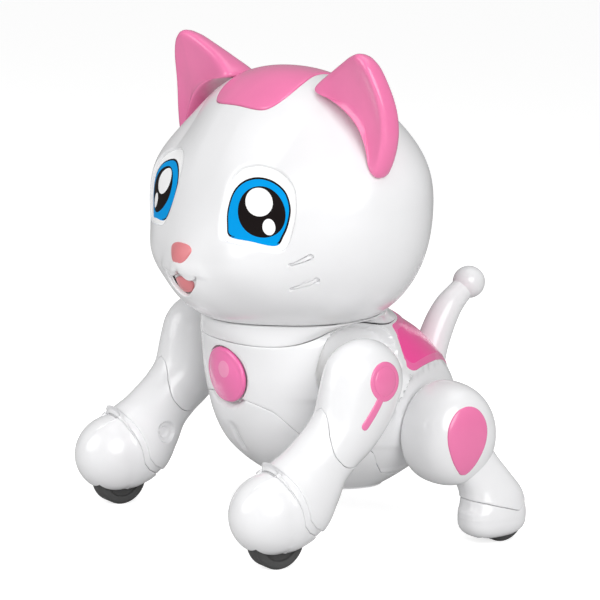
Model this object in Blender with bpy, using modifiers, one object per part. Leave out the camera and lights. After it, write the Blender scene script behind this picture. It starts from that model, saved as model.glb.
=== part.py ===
"""Walking robot kitten toy, 200 mm tall, built as separate moulded shells, drive gears and wheels.

Units: the dimensions below are millimetres, and put() turns them into metres.
Frame: +X is the kitten's left, it faces -Y, +Z is up, and the floor is z = 0.
"""

import math

import bmesh
import bpy
import numpy as np
from mathutils import Matrix, Vector

MM = 0.001
GAP = 0.3                      # clearance that touching pieces keep
WELD = 3e-7                    # metres: points closer than this become one after a Boolean

# Driving dimensions
BODY_SHIFT = -14.4             # moves the whole kitten along Y so that the origin is under its middle
WALL = 2.0
NECK_CENTRE = (0.0, -1.8, 83.3)
NECK_TILT = math.radians(8.0)  # the neck axis leans forward by this
COLLAR_LOW_R = 38.5
COLLAR_TOP_R = 41.5
COLLAR_HEIGHT = 8.5
HEAD_CENTRE = (0.0, -8.2, 136.0)
HEAD_HALF_WIDTH = 71.0
HEAD_FACE_DEPTH = 41.5         # from the centre to the face, without the muzzle
HEAD_BACK_DEPTH = 49.5
HEAD_HALF_HEIGHT = 52.5
HEAD_FLOOR = 9.0               # height of the head's flat underside along the neck axis
LEG_X = 58.8                   # middle of each front leg and wheel
HIND_X = 59.5
WHEEL_R = 11.2
WHEEL_WIDTH = 8.6
FRONT_AXLE = (-47.5, WHEEL_R)  # (y, z)
REAR_AXLE = (62.0, WHEEL_R)
SHOULDER = (-7.5, 72.0)        # (y, z) of the front leg's pivot
HIP = (41.0, 44.0)
GEAR_MODULE = 1.2
SECTOR_TEETH = 20              # the gear on each front leg's shaft
IDLER_TEETH = 16
IDLER_SMALL_TEETH = 8
PINION_TEETH = 8
HEAD_GEAR_TEETH = 24
HEAD_PINION_TEETH = 8
MOTOR_R = 6.0
AXLE_R = 1.3
SHOULDER_SHAFT_R = 4.6
HIP_PIN_R = 3.6

# Torso sections: height, front y, y where it is widest, back y, half width
TORSO = (
    (15.5, 6.0, 23.0, 40.0, 16.5),
    (18.0, 0.0, 23.0, 44.0, 21.0),
    (22.0, -9.5, 22.0, 51.0, 26.5),
    (28.0, -18.5, 21.0, 60.0, 33.0),
    (35.0, -25.5, 20.0, 67.5, 38.0),
    (44.0, -30.5, 18.0, 73.5, 41.0),
    (54.0, -33.5, 13.0, 75.0, 42.0),
    (64.0, -35.3, 6.0, 70.5, 42.0),
    (72.0, -36.3, 1.0, 63.5, 40.8),
    (80.0, -37.8, -1.5, 54.0, 39.8),
    (87.0, -39.8, -1.8, 42.0, 39.0),
    (96.0, -40.5, -1.8, 30.0, 38.0),
)

COLOURS = {
    "white_gloss": ((0.86, 0.86, 0.87), 0.22, 0.0),
    "pink_gloss": ((0.86, 0.21, 0.44), 0.2, 0.0),
    "magenta_lens": ((0.80, 0.07, 0.30), 0.1, 0.0),
    "salmon_gloss": ((0.72, 0.24, 0.24), 0.3, 0.0),
    "eye_print": ((0.0, 0.35, 0.80), 0.15, 0.0),
    "dark_rubber": ((0.07, 0.07, 0.07), 0.7, 0.0),
    "inner_plastic": ((0.55, 0.56, 0.58), 0.5, 0.0),
    "gear_plastic": ((0.80, 0.78, 0.70), 0.45, 0.0),
    "steel": ((0.6, 0.6, 0.62), 0.3, 1.0),
    "circuit_green": ((0.02, 0.22, 0.09), 0.5, 0.0),
    "battery_wrap": ((0.10, 0.18, 0.40), 0.35, 0.0),
    "speaker_paper": ((0.05, 0.05, 0.055), 0.8, 0.0),
}


def clear_scene():
    for obj in list(bpy.data.objects):
        bpy.data.objects.remove(obj)


def make_collection(name):
    made = bpy.data.collections.new(name)
    bpy.context.scene.collection.children.link(made)
    return made


def make_materials():
    made = {}
    for name, (colour, roughness, metallic) in COLOURS.items():
        material = bpy.data.materials.new(name)
        material.use_nodes = True
        shader = material.node_tree.nodes["Principled BSDF"]
        shader.inputs["Base Color"].default_value = (*colour, 1.0)
        shader.inputs["Roughness"].default_value = roughness
        shader.inputs["Metallic"].default_value = metallic
        made[name] = material
    return made


clear_scene()
PARTS = make_collection("robot_kitten")
CUTTERS = make_collection("cutters")
MATERIALS = make_materials()


# ---------------------------------------------------------------- helpers

def put(name, mesh_data, material=None):
    """A new object holding a bmesh given in millimetres. With no material it is a hidden cutter."""
    bmesh.ops.recalc_face_normals(mesh_data, faces=mesh_data.faces)
    bmesh.ops.transform(mesh_data, matrix=Matrix.Translation((0, BODY_SHIFT, 0)), verts=mesh_data.verts)
    bmesh.ops.transform(mesh_data, matrix=Matrix.Scale(MM, 4), verts=mesh_data.verts)
    mesh = bpy.data.meshes.new(name)
    mesh_data.to_mesh(mesh)
    mesh_data.free()
    obj = bpy.data.objects.new(name, mesh)
    if material is None:
        obj.hide_render = True
        obj.display_type = "WIRE"
        CUTTERS.objects.link(obj)
        return obj
    mesh.materials.append(MATERIALS[material])
    mesh.shade_smooth()
    mesh.set_sharp_from_angle(angle=math.radians(35))
    PARTS.objects.link(obj)
    return obj


def apply_boolean(target, other, operation):
    """Applies one Boolean to the target's mesh, so that cutters can be reused."""
    modifier = target.modifiers.new(operation.lower(), "BOOLEAN")
    modifier.operation = operation
    modifier.object = other
    bpy.context.view_layer.update()
    graph = bpy.context.evaluated_depsgraph_get()
    mesh = bpy.data.meshes.new_from_object(target.evaluated_get(graph))
    target.modifiers.remove(modifier)
    target.data = mesh
    mesh_data = bmesh.new()
    mesh_data.from_mesh(mesh)
    bmesh.ops.remove_doubles(mesh_data, verts=mesh_data.verts, dist=WELD)
    bmesh.ops.dissolve_degenerate(mesh_data, edges=mesh_data.edges, dist=WELD)
    mesh_data.to_mesh(mesh)
    mesh_data.free()


def cut(target, *cutters):
    for cutter in cutters:
        apply_boolean(target, cutter, "DIFFERENCE")


def keep(target, cutter):
    apply_boolean(target, cutter, "INTERSECT")


def join(target, *others):
    """Adds closed cutters to the target as one solid."""
    for other in others:
        apply_boolean(target, other, "UNION")


def move_origin(obj, point):
    """Puts the object's origin on its joint, given in millimetres before the body shift."""
    place = Vector((point[0], point[1] + BODY_SHIFT, point[2])) * MM
    obj.data.transform(Matrix.Translation(-place))
    obj.location = place


def loft(rings):
    """A closed skin through equal rings of points, with a flat cap at each end."""
    mesh_data = bmesh.new()
    rows = [[mesh_data.verts.new(point) for point in ring] for ring in rings]
    count = len(rows[0])
    for low, high in zip(rows, rows[1:]):
        for i in range(count):
            j = (i + 1) % count
            mesh_data.faces.new((low[i], low[j], high[j], high[i]))
    mesh_data.faces.new(rows[0][::-1])
    mesh_data.faces.new(rows[-1])
    return mesh_data


def superellipse(half_a, half_b, power, count):
    """Points of a rounded outline with the given half axes; power 2 is an ellipse."""
    points = []
    for i in range(count):
        angle = 2 * math.pi * i / count
        c, s = math.cos(angle), math.sin(angle)
        points.append((
            half_a * math.copysign(abs(c) ** (2 / power), c),
            half_b * math.copysign(abs(s) ** (2 / power), s),
        ))
    return points


def cylinder(start, end, radius, count=18, end_radius=None):
    """A round bar or cone between two points."""
    start, end = Vector(start), Vector(end)
    along = end - start
    mesh_data = bmesh.new()
    bmesh.ops.create_cone(
        mesh_data, cap_ends=True, segments=count, radius1=radius,
        radius2=radius if end_radius is None else end_radius, depth=along.length,
    )
    turn = along.to_track_quat("Z", "Y").to_matrix().to_4x4()
    bmesh.ops.transform(mesh_data, matrix=Matrix.Translation((start + end) / 2) @ turn, verts=mesh_data.verts)
    return mesh_data


def block(centre, size, turn_x=0.0):
    mesh_data = bmesh.new()
    bmesh.ops.create_cube(mesh_data, size=1.0)
    place = Matrix.Translation(centre) @ Matrix.Rotation(turn_x, 4, "X") @ Matrix.Diagonal((*size, 1.0))
    bmesh.ops.transform(mesh_data, matrix=place, verts=mesh_data.verts)
    return mesh_data


def ball(centre, radii, segments=16, rings=10):
    mesh_data = bmesh.new()
    bmesh.ops.create_uvsphere(mesh_data, u_segments=segments, v_segments=rings, radius=1.0)
    place = Matrix.Translation(centre) @ Matrix.Diagonal((*radii, 1.0))
    bmesh.ops.transform(mesh_data, matrix=place, verts=mesh_data.verts)
    return mesh_data


def prism(outline, centre, facing, depth_in, depth_out):
    """A flat outline pushed along facing. Outline x runs to the left of someone facing so, and y up."""
    facing = Vector(facing).normalized()
    across = Vector((0, 0, 1)).cross(facing).normalized()
    upward = facing.cross(across)
    return loft([
        [Vector(centre) + across * x + upward * y + facing * depth for x, y in outline]
        for depth in (-depth_in, depth_out)
    ])


def grow(outline, amount):
    """The outline moved outward by amount, from its own middle."""
    points = [Vector(p) for p in outline]
    middle = sum(points, Vector((0.0, 0.0))) / len(points)
    return [tuple(p + (p - middle).normalized() * amount) for p in points]


def smooth_outline(corners, per_side=5):
    """A closed Catmull-Rom curve through the corner points."""
    count = len(corners)
    points = []
    for i in range(count):
        p0, p1, p2, p3 = (Vector(corners[(i + k) % count]) for k in (-1, 0, 1, 2))
        for step in range(per_side):
            t = step / per_side
            points.append(tuple(0.5 * (
                2 * p1 + (p2 - p0) * t + (2 * p0 - 5 * p1 + 4 * p2 - p3) * t ** 2
                + (3 * p1 - p0 - 3 * p2 + p3) * t ** 3
            )))
    return points


def mirrored(outline):
    return [(-x, y) for x, y in outline][::-1]


def gear(centre, axis, teeth, thickness, mate, has_tooth):
    """A spur gear with straight-sided teeth, its middle plane at centre.

    Towards the mating gear's centre it shows a tooth if has_tooth is true, and otherwise a gap.
    """
    pitch = GEAR_MODULE * teeth / 2
    steps_of_tooth = ((-0.30, -1.15), (-0.12, 0.85), (0.12, 0.85), (0.30, -1.15))
    axis = Vector(axis).normalized()
    toward = Vector(mate) - Vector(centre)
    toward = (toward - axis * toward.dot(axis)).normalized()
    across = axis.cross(toward)
    outline = []
    for tooth in range(teeth):
        for offset, height in steps_of_tooth:
            angle = 2 * math.pi * (tooth + offset + (0.0 if has_tooth else 0.5)) / teeth
            radius = pitch + GEAR_MODULE * height
            outline.append(toward * radius * math.cos(angle) + across * radius * math.sin(angle))
    return loft([[Vector(centre) + p + axis * side * thickness / 2 for p in outline] for side in (-1, 1)])


def limb(x_middle, stations, power=2.0, count=12, end_steps=3):
    """A rounded limb with domed ends. Each station is (y, z, half depth, half width[, shift outward])."""
    outward = math.copysign(1, x_middle)
    centres = [Vector((x_middle + outward * sum(row[4:]), row[0], row[1])) for row in stations]
    rings = []
    total = len(stations)
    for i, (depth, width) in enumerate(row[2:4] for row in stations):
        along = (centres[min(i + 1, total - 1)] - centres[max(i - 1, 0)]).normalized()
        side = Vector((1, 0, 0))
        normal = along.cross(side).normalized()
        outline = superellipse(width, depth, power, count)
        steps = [(0.0, 1.0)]
        if i == 0:
            steps = [(-math.cos(a), math.sin(a)) for a in dome_angles(end_steps)] + steps
        elif i == total - 1:
            steps = steps + [(math.cos(a), math.sin(a)) for a in reversed(dome_angles(end_steps))]
        for ahead, scale in steps:
            middle = centres[i] + along * ahead * depth
            rings.append([middle + side * x * scale + normal * y * scale for x, y in outline])
    return loft(rings)


def dome_angles(steps):
    """Angles from near the pole of a dome to just short of its base."""
    return [math.pi / 2 * (k + 0.35) / (steps + 0.35) for k in range(steps)]


def neck_point(x, y, height):
    """A point of the tilted neck frame: x across, y back along the collar plane, height along the axis."""
    c, s = math.cos(NECK_TILT), math.sin(NECK_TILT)
    return Vector(NECK_CENTRE) + Vector((x, y * c - height * s, y * s + height * c))


NECK_AXIS = neck_point(0, 0, 1) - Vector(NECK_CENTRE)


def neck_cylinder(low, high, radius, count=32, top_radius=None, at=(0.0, 0.0)):
    return cylinder(neck_point(*at, low), neck_point(*at, high), radius, count, top_radius)


# ---------------------------------------------------------------- torso

def torso_skin(inset, count=24, bottom=None):
    """The torso's outer form, or the same form moved in by inset: blunt in front and rounder behind."""
    heights, fronts, middles, backs, halves = zip(*TORSO)
    if bottom is not None:
        heights = [bottom] + [h for h in heights if h > bottom + 1.0]
    rings = []
    for height in heights:
        front, middle, back, half = (np.interp(height, [row[0] for row in TORSO], column)
                                     for column in (fronts, middles, backs, halves))
        blunt = superellipse(half - inset, middle - front - inset, 2.3, count)
        round_ = superellipse(half - inset, back - middle - inset, 2.0, count)
        rings.append([
            (p[0], middle + p[1], height) if p[1] < 0 else (q[0], middle + q[1], height)
            for p, q in zip(blunt, round_)
        ])
    return loft(rings)


def seam_outline(shift):
    """Side view, as (y, z), of everything below the seam between the body and belly shells."""
    line = [(-60, 66), (-44, 60), (-33, 55), (-22, 45.8), (-16, 42), (-9, 39.7), (8, 38), (13, 36), (17.5, 30),
            (23, 25.2), (31, 23.4), (45, 22.6), (100, 22.4)]
    return [(y, z + shift) for y, z in line] + [(100, 0), (-60, 0)]


def below_seam(shift):
    rings = [[(x, y, z) for y, z in seam_outline(shift)] for x in (-90, 90)]
    return loft(rings)


BACK_PANEL = smooth_outline(((0, 31), (22, 30), (33, 20), (30, 10), (22, -4), (14, -16), (0, -22), (-14, -16),
                             (-22, -4), (-30, 10), (-33, 20), (-22, 30)), 2)
BACK_PANEL_AT = (0, 58, 73)
BACK_PANEL_FACING = (0, 0.62, 0.78)
BUTTON_AT = (0, -35.0, 64.5)
BUTTON_FACING = (0, -0.985, -0.17)
BUTTON_R = 11.2
DOOR_AT = (0, 23)
DOOR_SIZE = (26.0, 24.0)
SWITCH_AT = (0, 1.0, 20.5)
TAIL_AT = (0.0, 69.0, 67.0)
TAIL_AXIS = (0, 0.40, 0.92)
TAIL_R = 6.8


def make_torso():
    outer = torso_skin(0.0)
    body = put("upper_body_shell", outer, "white_gloss")
    inner = put("cut_torso_inner", torso_skin(WALL, 18, bottom=17.8))
    lower = put("cut_below_seam", below_seam(0.0))
    neck = put("cut_above_neck", neck_cylinder(0.0, 60, 70))
    panel_hole = put("cut_panel", prism(grow(BACK_PANEL, GAP), BACK_PANEL_AT, BACK_PANEL_FACING, 12, 25))
    button_hole = put("cut_button", cylinder(
        Vector(BUTTON_AT) - Vector(BUTTON_FACING) * 8, Vector(BUTTON_AT) + Vector(BUTTON_FACING) * 8, BUTTON_R + GAP))
    tail_hole = put("cut_tail", cylinder(
        Vector(TAIL_AT) - Vector(TAIL_AXIS) * 12, Vector(TAIL_AT) + Vector(TAIL_AXIS) * 18, TAIL_R + 0.6))
    cut(body, inner, lower, neck, panel_hole, button_hole, tail_hole)
    for side in (-1, 1):
        for y, z, radius in ((*SHOULDER, 5.4), (*HIP, 4.4)):
            cut(body, put(f"cut_pivot_{side}_{y}", cylinder((side * 25, y, z), (side * 50, y, z), radius)))
        cut(body, put(f"cut_thigh_recess_{side}", thigh_ball(side, 1.2)))

    belly = put("belly_shell", torso_skin(0.0), "white_gloss")
    keep(belly, put("cut_belly_side", below_seam(-GAP)))
    cut(belly, inner, button_hole)
    door_hole = put("cut_door", block((*DOOR_AT, 10), (DOOR_SIZE[0] + 2 * GAP, DOOR_SIZE[1] + 2 * GAP, 16)))
    switch_hole = put("cut_switch", block(SWITCH_AT, (9, 5, 14)))
    cut(belly, door_hole, switch_hole)

    door = put("battery_door", block((*DOOR_AT, 16.3), (*DOOR_SIZE, 1.6)), "white_gloss")
    bevel = door.modifiers.new("edges", "BEVEL")
    bevel.width = 0.4 * MM
    bevel.segments = 1
    bevel.limit_method = "ANGLE"

    panel = put("back_panel", torso_skin(-0.7, 26), "magenta_lens")
    cut(panel, put("cut_panel_inner", torso_skin(1.7, 24)))
    keep(panel, put("cut_panel_edge", prism(BACK_PANEL, BACK_PANEL_AT, BACK_PANEL_FACING, 12, 25)))
    cut(panel, tail_hole, neck)

    ring = neck_cylinder(GAP, COLLAR_HEIGHT, COLLAR_LOW_R, 36, COLLAR_TOP_R)
    collar = put("neck_collar", ring, "white_gloss")
    ring_hole = neck_cylinder(-5, COLLAR_HEIGHT + 5, COLLAR_LOW_R - 1.6, 36, COLLAR_TOP_R - 0.8)
    cut(collar, put("cut_collar", ring_hole))


# ---------------------------------------------------------------- head

def signed_power(value, power):
    return math.copysign(abs(value) ** power, value)


def head_point(angle_up, angle_round):
    """A point of the head's surface: a flattish face, a round back and a muzzle on the lower front."""
    c, s = math.cos(angle_round), math.sin(angle_round)
    face_share = (1 - s) / 2
    plan_power = 2 + 0.6 * face_share * math.cos(angle_up) ** (4 if angle_up > 0 else 2)
    depth = HEAD_BACK_DEPTH + (HEAD_FACE_DEPTH - HEAD_BACK_DEPTH) * face_share
    upper = math.sin(2 * max(0.0, angle_up)) ** 2
    side_power = 2.25 - 0.25 * math.sin(angle_up) - 0.18 * upper
    reach = signed_power(math.cos(angle_up), 2 / side_power)
    x = HEAD_HALF_WIDTH * reach * signed_power(c, 2 / plan_power)
    y = HEAD_CENTRE[1] + depth * reach * signed_power(s, 2 / plan_power)
    z = HEAD_CENTRE[2] + HEAD_HALF_HEIGHT * signed_power(math.sin(angle_up), 2 / side_power)
    swell = 17.0 * math.exp(-((z - 97.0) / 29.0) ** 2 - (x / 26.0) ** 2)
    return x, y - swell * max(0.0, -s) * reach ** 0.3, z


def head_skin(inset, rings=14, count=28):
    """The head's outer form, shrunk towards the head's centre by about inset."""
    shrink = 1 - inset / 56.0
    rows = []
    for i in range(rings):
        up = -math.pi / 2 + math.pi * (i + 0.5) / rings
        row = []
        for j in range(count):
            point = Vector(head_point(up, 2 * math.pi * j / count)) - Vector(HEAD_CENTRE)
            row.append(Vector(HEAD_CENTRE) + point * shrink)
        rows.append(row)
    return loft(rows)


HEAD_SPLIT_Y = 34.0            # the face shell meets the rear cover here
EYE_AT = (34.8, -44.4, 137.0)
EYE_FACING = (0.26, -0.955, 0.14)
EYE_OUTLINE = smooth_outline(((0, 15.9), (10.5, 13.2), (17.4, 5), (15.3, -10), (9, -13.6), (-9, -13.6), (-16, -10),
                              (-17.6, -1), (-12, 11)), 3)
NOSE_OUTLINE = smooth_outline(((0, 4.5), (4.6, 3.2), (5.3, 0.2), (1.6, -4.8), (-1.6, -4.8), (-5.3, 0.2),
                               (-4.6, 3.2)), 2)
MOUTH_OUTLINE = smooth_outline(((-7, 4.4), (0, 1.8), (7, 4.4), (4.8, -2.6), (0, -5.6), (-4.8, -2.6)), 3)
NOSE_AT = (0, -56.0, 114.3)
NOSE_FACING = (0, -0.97, 0.24)
MOUTH_AT = (0, -53.5, 102.0)
MOUTH_FACING = (0, -0.97, -0.24)
CAP_SIDE = ((10, 30.2), (17.5, 28.8), (21.8, 23), (22.6, 14), (18.8, 3.6), (16.1, -4.9), (17, -17.4), (19.5, -29.4),
            (21.6, -40.6))
CAP_OUTLINE = smooth_outline(((0, 30.4), *CAP_SIDE, (0, -40.9), *[(-x, y) for x, y in CAP_SIDE[::-1]]), 2)


def make_head():
    inner = put("cut_head_inner", head_skin(WALL + 0.4, 12, 24))
    cut(inner, put("cut_head_floor", neck_cylinder(-20, HEAD_FLOOR + 2.4, 80, 20)))
    neck_hole = put("cut_head_neck", neck_cylinder(-20, HEAD_FLOOR, 80, 28))
    join(neck_hole, put("add_stem_hole", neck_cylinder(-10, HEAD_FLOOR + 6, 9.0 + GAP, 24)))
    front_box = put("cut_front", block((0, HEAD_SPLIT_Y - 100 + GAP / 2, 140), (200, 200, 200)))
    rear_box = put("cut_rear", block((0, HEAD_SPLIT_Y + 100 - GAP / 2, 140), (200, 200, 200)))
    cap_prism = put("cut_cap", prism(grow(CAP_OUTLINE, GAP), (0, -7.4, 180), (0, 0.04, 1), 14.2, 20))
    face = put("face_shell", head_skin(0.0), "white_gloss")
    rear = put("head_rear_cover", head_skin(0.0), "white_gloss")
    cut(face, inner, neck_hole, rear_box, cap_prism)
    cut(rear, inner, neck_hole, front_box, cap_prism)
    for side, word in ((1, "left"), (-1, "right")):
        outline = EYE_OUTLINE if side > 0 else mirrored(EYE_OUTLINE)
        at = (side * EYE_AT[0], EYE_AT[1], EYE_AT[2])
        facing = (side * EYE_FACING[0], EYE_FACING[1], EYE_FACING[2])
        cut(face, put(f"cut_eye_{word}", prism(grow(outline, GAP), at, facing, 9, 20)))
        eye = put(f"eye_{word}", head_skin(2.6, 15, 34), "eye_print")
        keep(eye, put(f"edge_eye_{word}", prism(outline, at, facing, 9, 20)))
        cut(eye, put(f"back_eye_{word}", head_skin(5.2, 13, 30)))
    nose_cut = put("cut_nose", prism(grow(NOSE_OUTLINE, GAP), NOSE_AT, NOSE_FACING, 10, 20))
    mouth_cut = put("cut_mouth", prism(grow(MOUTH_OUTLINE, GAP), MOUTH_AT, MOUTH_FACING, 10, 20))
    cut(face, nose_cut, mouth_cut)
    nose = put("nose", head_skin(-1.0), "salmon_gloss")
    keep(nose, put("edge_nose", prism(NOSE_OUTLINE, NOSE_AT, NOSE_FACING, 10, 20)))
    cut(nose, inner)
    mouth = put("mouth_insert", head_skin(1.5, 17, 34), "salmon_gloss")
    keep(mouth, put("edge_mouth", prism(MOUTH_OUTLINE, MOUTH_AT, MOUTH_FACING, 10, 20)))
    cut(mouth, put("back_mouth", head_skin(4.0, 13, 30)))
    cap = put("crown_cap", head_skin(-0.5, 17, 32), "pink_gloss")
    keep(cap, put("edge_cap", prism(CAP_OUTLINE, (0, -7.4, 180), (0, 0.04, 1), 14.2, 20)))
    cut(cap, inner)
    make_ears()
    make_turntable()


EAR_OUTLINE = smooth_outline(((29, 178), (31, 185.5), (43, 192.5), (55, 198), (62.5, 199.6), (67, 196.5), (72.5, 187),
                              (76.5, 174), (75, 161), (70.5, 153), (66.5, 154), (58, 164), (44, 172)), 2)
EAR_Y = -14.0                  # middle of the ear's thickness at its base
EAR_LEAN = 0.24                # how fast the upper ear leans forward
EAR_THICKNESS = 11.0


def make_ears():
    """Each ear is a rounded flap with a hollow front, standing on the head's upper side."""
    head = put("cut_head_outer", head_skin(-GAP))
    for side, word in ((1, "left"), (-1, "right")):
        outline = [(side * x, z) for x, z in EAR_OUTLINE]
        middle = (side * 60, 176)
        rings = []
        for depth, scale in ((-0.1, 0.55), (-0.45, 0.78), (-0.34, 0.97), (0.0, 1.0), (0.3, 0.97), (0.5, 0.8)):
            rings.append([
                (middle[0] + (x - middle[0]) * scale, ear_y(z, depth), middle[1] + (z - middle[1]) * scale)
                for x, z in outline
            ])
        ear = put(f"ear_{word}", loft(rings), "pink_gloss")
        cut(ear, head)
        keep_largest(ear)


def ear_y(height, depth):
    """Where the ear's thickness lies at this height: the upper ear leans forward."""
    return EAR_Y + EAR_THICKNESS * depth - EAR_LEAN * max(0.0, height - 175)


def keep_largest(obj):
    """Drops all but the largest of the object's separate pieces."""
    mesh_data = bmesh.new()
    mesh_data.from_mesh(obj.data)
    left = set(mesh_data.verts)
    pieces = []
    while left:
        stack = [left.pop()]
        piece = set(stack)
        while stack:
            for edge in stack.pop().link_edges:
                for vert in edge.verts:
                    if vert in left:
                        left.remove(vert)
                        piece.add(vert)
                        stack.append(vert)
        pieces.append(piece)
    pieces.sort(key=len, reverse=True)
    for piece in pieces[1:]:
        bmesh.ops.delete(mesh_data, geom=list(piece), context="VERTS")
    mesh_data.to_mesh(obj.data)
    mesh_data.free()


HEAD_GEAR_AT = -5.2            # height of the gear's middle along the neck axis
HEAD_DRIVE_Y = GEAR_MODULE * (HEAD_GEAR_TEETH + HEAD_PINION_TEETH) / 2 + 0.15


def make_turntable():
    """The post that carries the head: a flange inside the head, a bearing stem and the drive gear."""
    table = put("head_turntable", neck_cylinder(HEAD_FLOOR + 2.7, HEAD_FLOOR + 5, 24, 28), "inner_plastic")
    join(table, put("add_stem", neck_cylinder(-7.7, HEAD_FLOOR + 4, 9.0, 20)))
    wheel = put("add_head_gear", gear(
        neck_point(0, 0, HEAD_GEAR_AT), NECK_AXIS, HEAD_GEAR_TEETH, 4.0, neck_point(0, 50, HEAD_GEAR_AT), True))
    join(table, wheel)
    cut(table, put("cut_wires", neck_cylinder(-12, 18, 4.5, 14)))
    move_origin(table, NECK_CENTRE)


# ---------------------------------------------------------------- inner works

def make_neck_drive():
    plate = put("neck_plate", neck_cylinder(-2.6, -0.4, 33.5, 28), "inner_plastic")
    cut(plate, put("cut_plate", neck_cylinder(-5, 3, 9.5, 20)))
    for side in (-1, 1):
        cut(plate, put(f"cut_plate_{side}", block((side * 26, SHOULDER[0], SHOULDER[1] + 6), (5.5, 32, 28))))
    pinion_y = HEAD_DRIVE_Y
    cut(plate, put("cut_pinion_shaft", neck_cylinder(-5, 3, 1.6, 12, at=(0, pinion_y))))
    pinion = put("head_pinion", gear(
        neck_point(0, pinion_y, HEAD_GEAR_AT), NECK_AXIS, HEAD_PINION_TEETH, 4.6,
        neck_point(0, 0, HEAD_GEAR_AT), False), "gear_plastic")
    join(pinion, put("add_pinion_shaft", neck_cylinder(-9.0, -1.0, 1.2, 10, at=(0, pinion_y))))
    move_origin(pinion, neck_point(0, pinion_y, 0))
    put("head_motor", neck_cylinder(-25, -9.4, MOTOR_R, 16, at=(0, pinion_y)), "steel")


def make_leg_drive():
    """One motor, pinion, double reduction gear and shoulder gear for each front leg."""
    reach_one = GEAR_MODULE * (SECTOR_TEETH + IDLER_SMALL_TEETH) / 2 + 0.15
    reach_two = GEAR_MODULE * (IDLER_TEETH + PINION_TEETH) / 2 + 0.15
    idler = (SHOULDER[0] + reach_one * 0.62, SHOULDER[1] - reach_one * 0.785)
    pinion = (idler[0] + reach_two * 0.2, idler[1] - reach_two * 0.98)
    for side, word in ((1, "left"), (-1, "right")):
        along = (side, 0, 0)
        arm_gear = put(f"shoulder_gear_{word}", gear(
            (side * 26, *SHOULDER), along, SECTOR_TEETH, 3.0, (0, *idler), True), "gear_plastic")
        shaft = cylinder((side * 21, *SHOULDER), (side * 50, *SHOULDER), SHOULDER_SHAFT_R, 20)
        join(arm_gear, put(f"add_shoulder_shaft_{word}", shaft))
        move_origin(arm_gear, (0, *SHOULDER))
        double = put(f"reduction_gear_{word}", gear(
            (side * 20.5, *idler), along, IDLER_TEETH, 2.6, (0, *pinion), True), "gear_plastic")
        join(double, put(f"add_small_{word}", gear(
            (side * 25, *idler), along, IDLER_SMALL_TEETH, 7.0, (0, *SHOULDER), False)))
        join(double, put(f"add_idler_shaft_{word}", cylinder((side * 17.5, *idler), (side * 31, *idler), 1.2, 10)))
        move_origin(double, (0, *idler))
        driver = put(f"motor_pinion_{word}", gear(
            (side * 20.5, *pinion), along, PINION_TEETH, 4.0, (0, *idler), False), "gear_plastic")
        join(driver, put(f"add_driver_shaft_{word}", cylinder((side * 16.5, *pinion), (side * 24, *pinion), 1.0, 10)))
        move_origin(driver, (0, *pinion))
        put(f"leg_motor_{word}", cylinder((side * 1.0, *pinion), (side * 16.0, *pinion), MOTOR_R, 16), "steel")
    frame = put("gearbox_frame", block((0, 1.5, 57), (1.2, 18, 33)), "inner_plastic")
    for side in (-1, 1):
        join(frame, put(f"add_boss_{side}", cylinder((side * 0.2, *idler), (side * 17.0, *idler), 2.4, 12)))
        join(frame, put(f"add_boss2_{side}", cylinder((side * 0.2, *SHOULDER), (side * 20.5, *SHOULDER), 2.0, 12)))


CELL_R = 5.25
CELL_LENGTH = 43.0
CELL_PITCH = 10.9
CELLS_AT = (21.0, 31.0)        # (y, z) of the middle cell


def make_electrics():
    middle_y, middle_z = CELLS_AT
    cells = put("battery_cells", block((0, middle_y, middle_z - CELL_R + 0.4), (CELL_LENGTH - 3, 3 * CELL_PITCH, 2.2)),
                "battery_wrap")
    for i in (-1, 0, 1):
        y = middle_y + i * CELL_PITCH
        half = CELL_LENGTH / 2
        join(cells, put(f"add_cell_{i}", cylinder((-half, y, middle_z), (half, y, middle_z), CELL_R, 16)))
        join(cells, put(f"add_tip_{i}", cylinder((half - 1, y, middle_z), (half + 1.2, y, middle_z), 1.9, 10)))
    board = put("main_board", block((0, 40, 50.5), (46, 40, 1.4)), "circuit_green")
    for x, y, size in ((-10, 34, (9, 9, 3)), (8, 44, (7, 12, 3)), (12, 30, (5, 5, 6)), (-13, 50, (8, 5, 5))):
        join(board, put(f"add_chip_{x}", block((x, y, 51.0 + size[2] / 2), size)))
    speaker = put("speaker", cylinder((0, -17.5, 44.5), (0, -23.5, 41.5), 10.5, 28), "speaker_paper")
    join(speaker, put("add_magnet", cylinder((0, -11.5, 47.5), (0, -18.5, 44.0), 6.0, 20)))
    put("button_switch", cylinder(button_point(-5.9), button_point(-8.1), 3.2, 16), "inner_plastic")


def button_point(height):
    return Vector(BUTTON_AT) + Vector(BUTTON_FACING) * height


def make_controls():
    button = put("chest_button", cylinder(button_point(-4.0), button_point(1.2), BUTTON_R, 32), "magenta_lens")
    dome = put("add_button_dome", ball(button_point(0.6), (BUTTON_R - 0.3, 3.4, BUTTON_R - 0.3), 20, 10))
    join(button, dome)
    put("power_switch", block((SWITCH_AT[0] - 1.5, SWITCH_AT[1], 19.4), (4.0, 4.0, 5.6)), "inner_plastic")


# ---------------------------------------------------------------- legs

UPPER_ARM = ((-9.8, 70.5, 17.4, 12.6), (-12.0, 62.0, 16.6, 12.8), (-15.0, 53.5, 13.4, 12.2), (-17.5, 47.0, 9.0, 10.6))
LOWER_ARM = ((-24.0, 49.5, 12.0, 10.5), (-29.5, 40.0, 13.4, 11.8), (-34.5, 32.0, 15.6, 13.6), (-39.0, 25.0, 18.2, 15.4))
PAW = ((-40.5, 23.2, 17.6, 15.2), (-45.0, 22.2, 17.2, 15.6), (-49.5, 21.6, 16.0, 15.4))
CUFF_NORMAL = (0.0, 0.62, 0.785)
CUFF_AT = (LEG_X, -39.8, 23.8)


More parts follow.
